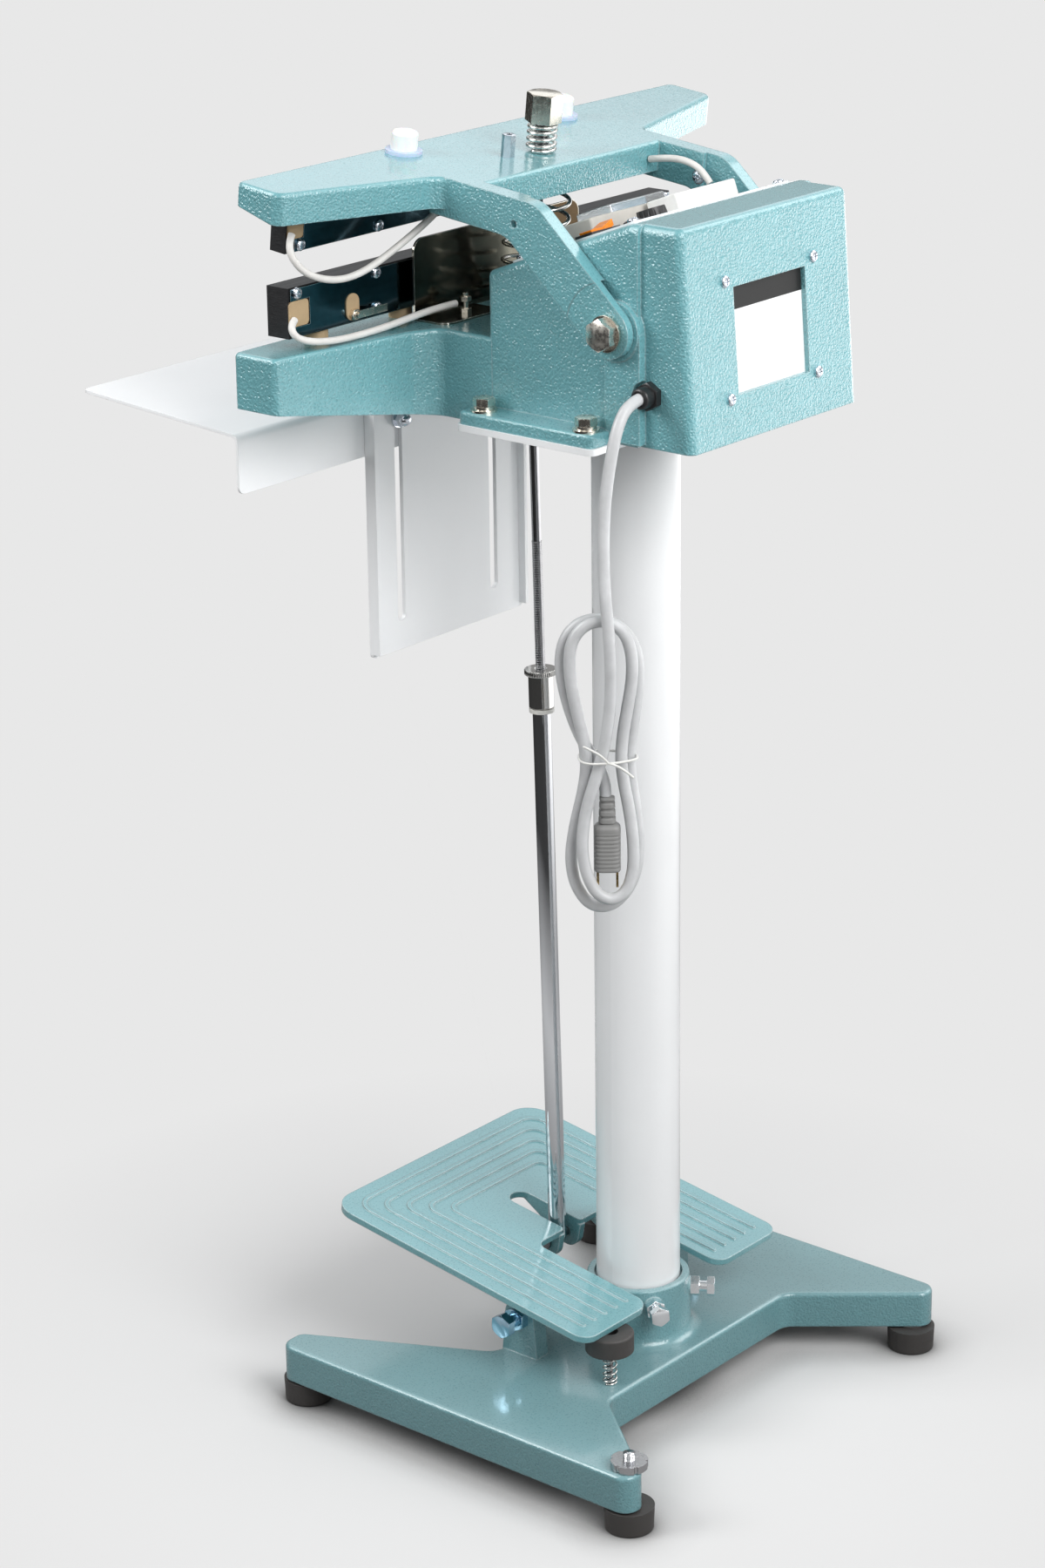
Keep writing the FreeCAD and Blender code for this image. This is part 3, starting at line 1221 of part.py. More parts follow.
def rear_plate():
    edge = REAR_SCREW_X + REAR_PLATE_EDGE
    plate = block(-edge, edge, -WINDOW_WALL - REAR_PLATE_THICK, -WINDOW_WALL,
                  WINDOW_BOTTOM - REAR_PLATE_BELOW, WINDOW_BOTTOM + WINDOW_HEIGHT + REAR_PLATE_ABOVE)
    holes = [rear_screw_hole(x, up) for x, up in rear_screw_places()]
    return on_rear(plate.cut(holes))


def rear_screws():
    return [on_rear(pan_screw(M4_HEAD_R, M4_HEAD, M4_R, M4_DEPTH, V(x, 0, up), Y_AXIS))
            for x, up in rear_screw_places()]


def flange_bolts():
    seat = FLANGE_TOP + M8_WASHER + M8_LOCK_WASHER
    reach = seat - POLE_TOP + FLANGE_BOLT_END
    return [hex_bolt(M8_AF, M8_HEAD, M8_R, reach, V(x, y, seat), Z_AXIS) for x, y in flange_places()]


def flange_washer(x, y):
    """Flat washer and the lock washer on it, of one bolt."""
    flat = ring(M8_WASHER_R, M8_R + FIT, M8_WASHER, V(x, y, FLANGE_TOP))
    lock = ring(M8_LOCK_WASHER_R, M8_R + FIT, M8_LOCK_WASHER, V(x, y, FLANGE_TOP + M8_WASHER))
    return flat.fuse(lock)


def pivot_bolt():
    seat = ARM_THIN_OUTER_X + LOOSE + M12_WASHER
    reach = seat - PIVOT_BOSS_X + PIVOT_BOLT_SINK
    return hex_bolt(M12_AF, M12_HEAD, M12_R, reach, V(seat, PIVOT_Y, PIVOT_Z), X_AXIS)


def gland():
    wall = HOUSING_REAR_HALF_X
    nut = hexagon(GLAND_AF, GLAND_HEX, V(wall, GLAND_Y, GLAND_Z), X_AXIS)
    nose = turned([(0, 0), (GLAND_NOSE_R, 0), (GLAND_NOSE_R, GLAND_LENGTH), (0, GLAND_LENGTH)], [0, 0, 2, 0],
                  V(wall, GLAND_Y, GLAND_Z), X_AXIS)
    stem = cylinder(GLAND_STEM_R, GLAND_STEM, V(wall - GLAND_STEM, GLAND_Y, GLAND_Z), X_AXIS)
    bore = cylinder(GLAND_BORE_R, BIG, V(wall + GLAND_LENGTH - GLAND_BORE, GLAND_Y, GLAND_Z), X_AXIS)
    return fuse([nut, nose, stem]).cut(bore)


def guard_plate():
    back = GUARD_FRONT + GUARD_THICK
    wall = prism_y(rectangle(-GUARD_HALF_X, GUARD_HALF_X, DECK_Z, DECK_Z + GUARD_HEIGHT), GUARD_FRONT, back,
                   [0, 0, GUARD_R, GUARD_R])
    foot = prism_z(rectangle(-GUARD_HALF_X, GUARD_HALF_X, GUARD_FRONT, GUARD_BACK), DECK_Z,
                   DECK_Z + GUARD_THICK, [0, 0, GUARD_R, GUARD_R])
    middle = block(-GUARD_GAP_X, GUARD_GAP_X, back, BIG, DECK_Z - PAST, DECK_Z + GUARD_THICK + PAST)
    holes = pair(cylinder(M4_R + FIT, GUARD_THICK + 2 * PAST, V(TERMINAL_X, TERMINAL_Y, DECK_Z - PAST)))
    return wall.fuse(foot).removeSplitter().cut([middle] + holes)


def terminal():
    """Terminal post on the guard plate's foot: screw, two nuts."""
    seat = DECK_Z + GUARD_THICK
    post = cylinder(M4_R, TERMINAL_BELOW + TERMINAL_ABOVE, V(TERMINAL_X, TERMINAL_Y, DECK_Z - TERMINAL_BELOW))
    low = hexagon(M4_AF, M4_NUT, V(TERMINAL_X, TERMINAL_Y, seat))
    high = hexagon(M4_AF, M4_NUT, V(TERMINAL_X, TERMINAL_Y, seat + TERMINAL_STEP))
    return fuse([post, low, high])


def make_frame():
    keep("lower_frame", lower_frame())
    bar_bolts = [bolt for x in LOWER_SPACER_X for bolt in pair(lower_bar_bolt(x))]
    keep("frame_bolts", *(flange_bolts() + pair(rail_bolt()) + bar_bolts))
    place = V(ARM_THIN_OUTER_X + LOOSE, PIVOT_Y, PIVOT_Z)
    pivot_washer = ring(M12_WASHER_R, M12_R + FIT, M12_WASHER, place, X_AXIS)
    keep("washers", *([flange_washer(x, y) for x, y in flange_places()] + pair(pivot_washer)))
    keep("pivot_bolts", *pair(pivot_bolt()))
    keep("rear_plate", rear_plate())
    keep("cable_gland", gland())
    keep("guard_plate", guard_plate())
    keep("terminals", *(pair(terminal()) + [connector()]))


# control panel

def panel_screw_places():
    half = PANEL_HALF_X - PANEL_SCREW_EDGE
    return [(x, up) for x in (-half, half)
            for up in (PANEL_START + PANEL_SCREW_EDGE, PANEL_END - PANEL_SCREW_EDGE)]


def control_panel():
    plate = block(-PANEL_HALF_X, PANEL_HALF_X, PANEL_START, PANEL_END, 0, PANEL_THICK, PANEL_R)
    holes = [cylinder(M4_R + FIT, PANEL_THICK + 2 * PAST, V(x, up, -PAST)) for x, up in panel_screw_places()]
    holes.append(block(*switch_rect(FIT), -PAST, PANEL_THICK + PAST))
    return on_slope(plate.cut(holes))


def panel_box(x0, x1, up, depth, height):
    """Moulded box on the panel with a round rim."""
    top = PANEL_THICK + height
    return on_slope(round_top(block(x0, x1, up, up + depth, PANEL_THICK, top, BOX_R), top, BOX_EDGE_R))


def controller_cover():
    base = PANEL_THICK + CONTROLLER_HEIGHT
    body = block(COVER_X[0], COVER_X[1], CONTROLLER_START + COVER_EDGE,
                 CONTROLLER_START + CONTROLLER_DEPTH - COVER_EDGE, base, base + COVER_HEIGHT, BOX_R)
    return on_slope(round_top(body, base + COVER_HEIGHT, BOX_EDGE_R))


def knob():
    body = turned([(0, 0), (KNOB_R, 0), (KNOB_R - KNOB_DRAFT, KNOB_HEIGHT), (0, KNOB_HEIGHT)])
    line = SWITCH_FRAME / 2
    pointer = block(-line, line, 2 * line, BIG, KNOB_HEIGHT - line, BIG)
    grips = [cylinder(KNOB_GRIP_R, BIG, around(KNOB_R, i + 0.5, KNOB_GRIPS, -PAST))
             for i in range(KNOB_GRIPS)]
    body = body.cut([pointer] + grips)
    return on_slope(aim(body, V(KNOB_X, KNOB_UP, PANEL_THICK + LOOSE), Z_AXIS))


def switch_rect(gap):
    """Outline of the switch body, grown by a gap."""
    return (SWITCH_X - SWITCH_HALF_X + SWITCH_FRAME - gap, SWITCH_X + SWITCH_HALF_X - SWITCH_FRAME + gap,
            SWITCH_UP - SWITCH_HALF_UP + SWITCH_FRAME - gap, SWITCH_UP + SWITCH_HALF_UP - SWITCH_FRAME + gap)


def switch_frame():
    """Collar on the panel and body below it, hollow for the paddle."""
    collar = block(SWITCH_X - SWITCH_HALF_X, SWITCH_X + SWITCH_HALF_X, SWITCH_UP - SWITCH_HALF_UP,
                   SWITCH_UP + SWITCH_HALF_UP, PANEL_THICK, PANEL_THICK + SWITCH_COLLAR, SWITCH_FRAME)
    body = block(*switch_rect(0), PANEL_THICK - SWITCH_DEPTH, PANEL_THICK + SWITCH_COLLAR / 2)
    pocket = block(*switch_rect(-SWITCH_WALL), rocker_pivot_up - ROCKER_POCKET, BIG)
    return on_slope(fuse([collar, body]).cut(pocket))


rocker_pivot_up = PANEL_THICK + SWITCH_COLLAR


def rocker():
    """Paddle with a shallow V on top, tipped to one side about its pivot."""
    reach = SWITCH_HALF_X - SWITCH_FRAME - SWITCH_WALL - 2 * LOOSE
    half = SWITCH_HALF_UP - SWITCH_FRAME - SWITCH_WALL - LOOSE
    side = reach - 2 * LOOSE
    points = [(-reach, ROCKER_END), (-side, -ROCKER_BELLY / 2), (-reach / 2, -ROCKER_BELLY),
              (reach / 2, -ROCKER_BELLY), (side, -ROCKER_BELLY / 2), (reach, ROCKER_END), (0, ROCKER_MIDDLE)]
    body = prism_y(points, -half, half, [0.5, 0, 0, 0, 0, 0.5, 0])
    body.rotate(V(0, 0, 0), Y_AXIS, ROCKER_TILT)
    body.translate(V(SWITCH_X, SWITCH_UP, rocker_pivot_up))
    return on_slope(body)


def lamp(x):
    profile = [(0, 0), (LAMP_R, 0), (LAMP_R, LAMP_HEIGHT), (0, LAMP_TIP)]
    return on_slope(turned(profile, 0, V(x, LAMP_UP, PANEL_THICK)))


def make_panel():
    keep("control_panel", control_panel())
    panel_screws = [on_slope(pan_screw(M4_HEAD_R, M4_HEAD, M4_R, M4_DEPTH, V(x, up, PANEL_THICK), Z_AXIS))
                    for x, up in panel_screw_places()]
    bar_screws = []
    for x, z in lower_screw_places():
        bar_screws += pair(bar_screw(x, lower_bar_back + SIDE_PLATE, z))
    keep("frame_screws", *(rear_screws() + panel_screws + bar_screws))
    keep("controller_box", panel_box(-CONTROLLER_HALF_X, CONTROLLER_HALF_X, CONTROLLER_START,
                                     CONTROLLER_DEPTH, CONTROLLER_HEIGHT))
    keep("controller_cover", controller_cover())
    keep("junction_box", panel_box(JUNCTION_X[0], JUNCTION_X[1], JUNCTION_START, JUNCTION_DEPTH,
                                   JUNCTION_HEIGHT))
    keep("temperature_knob", knob())
    keep("rocker_switch", rocker())
    keep("switch_frame_and_lamps", *([switch_frame()] + [lamp(x) for x in LAMP_X]))


# upper jaw

def jaw_plan():
    return both_sides([(JAW_HALF_X, JAW_FRONT), (JAW_HALF_X, JAW_TIP_BACK), JAW_ROOT,
                       (ARM_OUTER_X, JAW_ROOT[1] + JAW_ROOT_STEP), (ARM_OUTER_X, JAW_WEB_BACK)])


def jaw_radii():
    half = [JAW_EDGE_R + 2, JAW_EDGE_R + 4, JAW_ROOT_R, JAW_ROOT_R, 0]
    return half + half[::-1]


def arm_profile():
    """Side view of one arm: level beam, bend, strap down to the pivot's round end."""
    angle = math.radians(ARM_SLOPE)
    along = (math.cos(angle), -math.sin(angle))
    across = (math.sin(angle), math.cos(angle))
    back_run = (JAW_TOP - PIVOT_Z - ARM_R * across[1]) / math.sin(angle)
    front_run = (ARM_BOTTOM - PIVOT_Z + ARM_R * across[1]) / math.sin(angle)
    back_bend = (PIVOT_Y + ARM_R * across[0] - along[0] * back_run, JAW_TOP)
    front_bend = (PIVOT_Y - ARM_R * across[0] - along[0] * front_run, ARM_BOTTOM)
    end = (PIVOT_Y + along[0] * ARM_R, PIVOT_Z + along[1] * ARM_R)
    end_back = (end[0] + across[0] * ARM_R, end[1] + across[1] * ARM_R)
    end_front = (end[0] - across[0] * ARM_R, end[1] - across[1] * ARM_R)
    start = JAW_ROOT[1] - JAW_ROOT_STEP
    points = [(start, ARM_BOTTOM), (start, JAW_TOP), back_bend, end_back, end_front, front_bend]
    return points, [0, 0, ARM_BEND_R, ARM_R - FIT, ARM_R - FIT, ARM_BEND_R]


def jaw_arm():
    points, radii = arm_profile()
    inner = ARM_OUTER_X - ARM_THICK
    arm = prism_x(points, inner, ARM_OUTER_X, radii)
    start = inner - PAST
    relief = block(start, HOUSING_HALF_X + 2 * LOOSE, ARM_RELIEF_Y, BIG, 0, BIG)
    thin = cylinder(ARM_THIN_R, ARM_THIN_X - start, V(start, PIVOT_Y, PIVOT_Z), X_AXIS)
    outer = cylinder(ARM_THIN_R, BIG, V(ARM_THIN_OUTER_X, PIVOT_Y, PIVOT_Z), X_AXIS)
    hole = cylinder(BUSH_R + FIT / 2, BIG, V(start, PIVOT_Y, PIVOT_Z), X_AXIS)
    clip_hole = cylinder(M5_R, BIG, V(start, CLIP_Y, CLIP_Z), X_AXIS)
    return arm.cut([relief, thin, outer, hole, clip_hole])


def upper_jaw():
    body = prism_z(jaw_plan(), ARM_BOTTOM, JAW_TOP, jaw_radii())
    body = round_top(body, JAW_TOP, JAW_EDGE_R - 1)
    front = JAW_FRONT - PAST
    back = JAW_WEB_BACK + PAST
    profile = [(front, JAW_LIP_BOTTOM), (JAW_FRONT, JAW_LIP_BOTTOM),
               (JAW_FRONT + JAW_LIP_DEPTH, JAW_WALL_BOTTOM), (back, JAW_WALL_BOTTOM), (back, JAW_TOP + PAST),
               (front, JAW_TOP + PAST)]
    body = body.common(prism_x(profile, -BIG / 2, BIG / 2))
    pocket = inset(jaw_plan(), jaw_radii(), JAW_WALL).extrude(V(0, 0, JAW_TOP - JAW_WALL))
    ribs = []
    for x in JAW_RIB_X:
        ribs += pair(block(x - JAW_RIB / 2, x + JAW_RIB / 2, upper_bar_back + JAW_RIB, BIG,
                           JAW_WALL_BOTTOM + JAW_RIB_LIFT, BIG))
    body = fuse([body.cut(pocket.cut(ribs))] + pair(jaw_arm()))
    under = jaw_ceiling - PAST
    through = JAW_WALL + 2 * PAST
    holes = [cylinder(BOLT_HOLE_R, through, V(0, BOLT_Y, under)),
             cylinder(M4_R + FIT, through, V(STANDOFF_X, STANDOFF_Y, under))]
    holes += pair(cylinder(HANGER_R + FIT, through, V(HANGER_X, HANGER_Y, under)))
    return opened(body.cut(holes))


def jaw_bush():
    return opened(ring(BUSH_R, M12_R + FIT, ARM_THIN, V(ARM_THIN_X, PIVOT_Y, PIVOT_Z), X_AXIS))


upper_bar_back = UPPER_BAR_FRONT + UPPER_BAR_THICK
lower_bar_back = LOWER_BAR_FRONT + LOWER_BAR_THICK
upper_bar_top = UPPER_BAR_BOTTOM + UPPER_BAR_HEIGHT
jaw_ceiling = JAW_TOP - JAW_WALL


def upper_screw_holes(y):
    """Holes of the side plate's screws, reaching back from y."""
    z = UPPER_BAR_BOTTOM + BAR_SCREW_UP
    holes = []
    for x in BAR_SCREW_X:
        holes += pair(cylinder(M4_R + FIT, BIG, V(x, y, z), Y_AXIS))
    return holes


def upper_bar():
    bar = block(-BAR_HALF_X, BAR_HALF_X, UPPER_BAR_FRONT, upper_bar_back, UPPER_BAR_BOTTOM, upper_bar_top)
    holes = pair(cylinder(HANGER_R + FIT, BIG, V(HANGER_X, HANGER_Y, upper_bar_top - HANGER_SINK)))
    return opened(bar.cut(holes + upper_screw_holes(upper_bar_back - BAR_SCREW_HOLE)))


def upper_side_plate():
    """Bright spring steel along the bar's back face, notched for the mica tab at each end."""
    end = BAR_HALF_X - UPPER_PLATE_END
    inner = end - UPPER_PLATE_STEP
    notch = UPPER_BAR_BOTTOM + UPPER_TAB[2] - LOOSE
    points = both_sides([(end, UPPER_BAR_BOTTOM + 2 * LOOSE), (end, notch), (inner, notch),
                         (inner, upper_bar_top - PAST)])
    plate = prism_y(points, upper_bar_back, upper_bar_back + SIDE_PLATE)
    return opened(plate.cut(upper_screw_holes(upper_bar_back - PAST)))


def bar_screw(x, y, z):
    return pan_screw(M4_HEAD_R, M4_HEAD, M4_R, BAR_SCREW_HOLE, V(x, y, z), Y_AXIS)


def mica_tab(x0, x1, y, z0, z1, radius):
    return prism_y(rectangle(x0, x1, z0, z1), y, y + TAB_THICK, radius)


def end_tab(tab, y, z):
    """Tab at a bar's end; tab holds its inner and outer ends, bottom, top and corner radius."""
    return pair(mica_tab(BAR_HALF_X - tab[0], BAR_HALF_X - tab[1], y, z + tab[2], z + tab[3], tab[4]))


def hanger():
    bottom = upper_bar_top - HANGER_SINK + LOOSE
    top = JAW_TOP + CAP_RING + CAP_BORE - LOOSE
    return cylinder(HANGER_R, top - bottom, V(HANGER_X, HANGER_Y, bottom))


def bar_cap():
    cap = turned([(0, 0), (CAP_R, 0), (CAP_R, CAP_HEIGHT), (0, CAP_HEIGHT)], [0, 0, CAP_EDGE_R, 0],
                 V(HANGER_X, HANGER_Y, JAW_TOP + CAP_RING))
    return cap.cut(cylinder(HANGER_R + FIT, CAP_BORE, V(HANGER_X, HANGER_Y, JAW_TOP + CAP_RING)))


def wire_clip():
    """Screw and P-clip on the inner face of the far arm, around the lead."""
    face = -(ARM_OUTER_X - ARM_THICK)
    screw = pan_screw(M4_HEAD_R, M4_HEAD, M4_R, M4_DEPTH, V(face + CLIP_THICK, CLIP_Y, CLIP_Z), X_AXIS)
    pad = cylinder(CLIP_R, CLIP_THICK, V(face, CLIP_Y, CLIP_Z), X_AXIS)
    neck = block(face, face + CLIP_THICK, CLIP_Y - CLIP_R / 2, CLIP_Y + CLIP_R / 2, CLIP_Z,
                 CLIP_Z + CLIP_NECK)
    return opened(fuse([screw, pad, neck]))


def make_jaw():
    keep("upper_jaw", upper_jaw())
    keep("jaw_bushes", *pair(jaw_bush()))
    keep("upper_bar", upper_bar())
    keep("upper_side_plate", upper_side_plate())
    screw_y = upper_bar_back + SIDE_PLATE
    screws = []
    for x in BAR_SCREW_X:
        screws += pair(bar_screw(x, screw_y, UPPER_BAR_BOTTOM + BAR_SCREW_UP))
    keep("upper_bar_screws", *[opened(s) for s in screws])
    keep("upper_mica_tabs", *[opened(t) for t in end_tab(UPPER_TAB, upper_bar_back, UPPER_BAR_BOTTOM)])
    spacer = ring(SPACER_R, HANGER_R + FIT, HANGER_SPACER, V(HANGER_X, HANGER_Y, upper_bar_top))
    keep("bar_hangers", *[opened(h) for h in pair(hanger()) + pair(spacer)])
    cap_ring = ring(CAP_RING_R, HANGER_R + FIT, CAP_RING, V(HANGER_X, HANGER_Y, JAW_TOP))
    keep("bar_caps", *[opened(c) for c in pair(bar_cap()) + pair(cap_ring)])
    standoff = hexagon(STANDOFF_AF, STANDOFF, V(STANDOFF_X, STANDOFF_Y, JAW_TOP))
    stud = cylinder(M4_R, M4_DEPTH, V(STANDOFF_X, STANDOFF_Y, JAW_TOP - M4_DEPTH))
    standoff = standoff.cut(cylinder(M4_R, BIG, V(STANDOFF_X, STANDOFF_Y, JAW_TOP + STANDOFF / 2)))
    keep("standoff_and_wire_clip", opened(fuse([standoff, stud])), wire_clip())
    upper_leads = [tube_along(UPPER_LEAD, LEAD_R, "upper lead"), tube_along(CLIP_LEAD, LEAD_R, "clip lead")]
    keep("upper_leads", *[opened(lead) for lead in upper_leads])


# pressure bolt with its nut and the springs

def pressure_bolt():
    low = LINK_Z - LINK_SLOT_R - LINK_END
    link = prism_x(rectangle(BOLT_Y - LINK_HALF_Y, BOLT_Y + LINK_HALF_Y, low, LINK_TOP),
                   -LINK_THICK / 2, LINK_THICK / 2, [LINK_HALF_Y - 1, LINK_HALF_Y - 1, 3, 3])
    slot = prism_x(rectangle(BOLT_Y - LINK_SLOT_R, BOLT_Y + LINK_SLOT_R, LINK_Z - LINK_SLOT_R,
                             LINK_Z + LINK_TRAVEL + LINK_SLOT_R), -BIG / 2, BIG / 2, LINK_SLOT_R - FIT)
    start = LINK_TOP - LINK_THICK / 2
    top = JAW_TOP + PRESSURE_SPRING + NUT_HEIGHT - NUT_ROOF - PAST
    stem = cylinder(BOLT_R, top - start, V(0, BOLT_Y, start))
    return opened(fuse([link.cut(slot), stem]))


def pressure_nut():
    base = JAW_TOP + PRESSURE_SPRING + LOOSE
    nut = hexagon(NUT_AF, NUT_HEIGHT, V(0, BOLT_Y, base))
    return opened(nut.cut(cylinder(BOLT_R + FIT, NUT_HEIGHT - NUT_ROOF, V(0, BOLT_Y, base))))


def return_spring():
    """Spring from the deck up to the underside of the open jaw's web."""
    low = V(0, BOLT_Y, DECK_Z)
    mark = Part.Vertex(V(0, BOLT_Y, jaw_ceiling))
    high = opened(mark).Point
    axis = high - low
    length = axis.Length - 2 * RETURN_SEAT
    axis.normalize()
    seat = low + axis * RETURN_SEAT
    return coil(RETURN_SPRING_R - RETURN_WIRE / 2, RETURN_WIRE, length, RETURN_TURNS, seat, axis)


def make_pressure():
    keep("pressure_bolt", pressure_bolt())
    keep("pressure_nut", pressure_nut())
    spring = coil(PRESSURE_SPRING_R - PRESSURE_WIRE / 2, PRESSURE_WIRE, PRESSURE_SPRING - 2 * TOUCH,
                  PRESSURE_TURNS, V(0, BOLT_Y, JAW_TOP + TOUCH), Z_AXIS)
    keep("pressure_spring", opened(spring))
    keep("return_spring", return_spring())


# lower bar

def lower_screw_holes(y):
    """Holes of the side plate's screws, reaching back from y."""
    holes = []
    for x, z in lower_screw_places():
        holes += pair(cylinder(M4_R + FIT, BIG, V(x, y, z), Y_AXIS))
    return holes


def lower_bar():
    bar = block(-BAR_HALF_X, BAR_HALF_X, LOWER_BAR_FRONT, lower_bar_back, LOWER_BAR_BOTTOM, LOWER_BAR_TOP)
    holes = lower_screw_holes(lower_bar_back - BAR_SCREW_HOLE)
    for x in LOWER_SPACER_X:
        holes += pair(cylinder(HANGER_R + FIT, LOWER_BOLT_SINK + PAST, V(x, lower_bar_y, LOWER_BAR_BOTTOM)))
    return bar.cut(holes)


def lower_screw_places():
    inner = BAR_SCREW_X[0] + LOWER_SCREW_SHIFT[0]
    outer = BAR_SCREW_X[1] + LOWER_SCREW_SHIFT[1]
    high = LOWER_BAR_TOP - LOWER_SCREW_DOWN
    return [(inner, high), (inner, LOWER_BAR_BOTTOM + CONNECTOR_UP), (outer, high)]


def lower_side_plate():
    """Bright steel along the bar's back face, notched round the mica tab at each end."""
    end = BAR_HALF_X - SIDE_PLATE_END
    inner = BAR_HALF_X - LOWER_TAB[0] - PAST
    low = LOWER_BAR_BOTTOM + LOWER_TAB[2] - LOOSE
    high = LOWER_BAR_BOTTOM + LOWER_TAB[3] + LOOSE
    points = both_sides([(end, LOWER_BAR_BOTTOM + 2 * LOOSE), (end, low), (inner, low), (inner, high),
                         (end, high), (end, LOWER_BAR_TOP - PAST)])
    plate = prism_y(points, lower_bar_back, lower_bar_back + SIDE_PLATE)
    return plate.cut(lower_screw_holes(lower_bar_back - PAST))


def lower_spacer(x):
    return ring(LOWER_SPACER_R, HANGER_R + FIT, LOWER_BAR_BOTTOM - DECK_Z, V(x, lower_bar_y, DECK_Z))


def lower_bar_bolt(x):
    seat = DECK_Z - WING_WALL
    reach = LOWER_BAR_BOTTOM + LOWER_BOLT_SINK - seat
    return hex_bolt(M8_AF, M8_HEAD, HANGER_R, reach, V(x, lower_bar_y, seat), -Z_AXIS)


def connector():
    """Spade terminal on the bar's back face with its short brass strap."""
    face = lower_bar_back + SIDE_PLATE + TAB_THICK
    z = LOWER_BAR_BOTTOM + CONNECTOR_UP
    post = cylinder(M4_R, 2 * M4_NUT, V(CONNECTOR_X, face, z), Y_AXIS)
    nut = hexagon(M4_AF, M4_NUT, V(CONNECTOR_X, face, z), Y_AXIS)
    strap_y = face + M4_NUT
    strap = block(CONNECTOR_X - STRAP_LENGTH, CONNECTOR_X, strap_y, strap_y + STRAP_THICK, z - STRAP_HALF,
                  z + STRAP_HALF)
    return fuse([post, nut, strap])


def make_lower_bar():
    keep("lower_bar", lower_bar())
    keep("lower_side_plate", lower_side_plate())
    tabs = end_tab(LOWER_TAB, lower_bar_back, LOWER_BAR_BOTTOM)
    x0, x1, low, high, radius = MIDDLE_TAB
    tabs.append(mica_tab(x0, x1, lower_bar_back + SIDE_PLATE, LOWER_BAR_BOTTOM + low, LOWER_BAR_BOTTOM + high,
                         radius))
    spacers = [spacer for x in LOWER_SPACER_X for spacer in pair(lower_spacer(x))]
    keep("lower_insulators", *(spacers + tabs))
    keep("lower_lead", tube_along(LOWER_LEAD, LEAD_R, "lower lead"))


# slotted plate and shelf

def slotted_plate():
    back = RAIL_FRONT + RAIL_THICK
    points = rectangle(-RAIL_HALF_X, RAIL_HALF_X, RAIL_BOTTOM, RAIL_TOP)
    plate = prism_y(points, RAIL_FRONT, back, RAIL_EDGE_R)
    side = block(RAIL_HALF_X - RAIL_THICK, RAIL_HALF_X, RAIL_FRONT + PAST, RAIL_FRONT + RAIL_RETURN,
                 RAIL_BOTTOM + RAIL_EDGE_R, WING_ROOT_BOTTOM - RAIL_EDGE_R)
    slot = prism_y(rectangle(SLOT_X - SLOT_R, SLOT_X + SLOT_R, SLOT_BOTTOM, SLOT_TOP), RAIL_FRONT - PAST,
                   back + PAST, SLOT_R - FIT)
    holes = pair(slot) + pair(cylinder(M6_R + FIT, RAIL_THICK + 2 * PAST,
                                       V(RAIL_PAD_X, RAIL_FRONT - PAST, rail_bolt_z), Y_AXIS))
    return fuse([plate] + pair(side)).cut(holes)


def rail_bolt():
    return hex_bolt(M6_AF, M6_HEAD, M6_R, RAIL_BOLT, V(RAIL_PAD_X, RAIL_FRONT, rail_bolt_z), -Y_AXIS)


shelf_back = RAIL_FRONT - LOOSE


def shelf():
    """Bent sheet: flange down the slotted plate, top rising a little to the front."""
    rise = math.atan2(SHELF_FRONT_Z - SHELF_TOP, shelf_back - SHELF_FRONT)
    lift = (SHELF_FRONT_Z - SHELF_TOP) / (shelf_back - SHELF_FRONT)
    front = shelf_back - SHELF_THICK
    under = SHELF_TOP - SHELF_THICK / math.cos(rise)
    points = [(shelf_back, SHELF_BOTTOM), (shelf_back, SHELF_TOP), (SHELF_FRONT, SHELF_FRONT_Z),
              (SHELF_FRONT, SHELF_FRONT_Z - SHELF_THICK), (front, under + lift * SHELF_THICK),
              (front, SHELF_BOTTOM)]
    body = prism_x(points, -SHELF_HALF_X, SHELF_HALF_X,
                   [0, SHELF_BEND_R, 0, 0, SHELF_BEND_R - SHELF_THICK, 0])
    flange_corners = prism_y(rectangle(-SHELF_HALF_X, SHELF_HALF_X, SHELF_BOTTOM, BIG), SHELF_FRONT - PAST, 0,
                             [SHELF_CORNER_R, SHELF_CORNER_R, 0, 0])
    top_corners = block(-SHELF_HALF_X, SHELF_HALF_X, SHELF_FRONT, BIG, 0, BIG, SHELF_CORNER_R)
    holes = pair(cylinder(M6_R + FIT, SHELF_THICK + 2 * PAST, V(SLOT_X, front - PAST, SHELF_BOLT_Z), Y_AXIS))
    return body.common(flange_corners).common(top_corners).cut(holes)


def dome_nut():
    """Cap nut and washer that clamp the shelf through a slot."""
    back = RAIL_FRONT + RAIL_THICK + LOOSE
    washer = cylinder(CLAMP_WASHER_R, CLAMP_WASHER, V(SLOT_X, back, SHELF_BOLT_Z), Y_AXIS)
    flats = hexagon(M6_AF, CLAMP_NUT, V(SLOT_X, back + CLAMP_WASHER, SHELF_BOLT_Z), Y_AXIS)
    dome = Part.makeSphere(CLAMP_DOME_R, V(SLOT_X, back + CLAMP_WASHER + CLAMP_NUT - LOOSE, SHELF_BOLT_Z))
    dome = dome.common(block(-BIG, BIG, back + CLAMP_NUT, BIG, 0, BIG))
    nut = fuse([washer, flats, dome])
    return nut.cut(cylinder(M6_R + FIT, M6_DEPTH + LOOSE, V(SLOT_X, back, SHELF_BOLT_Z), Y_AXIS))


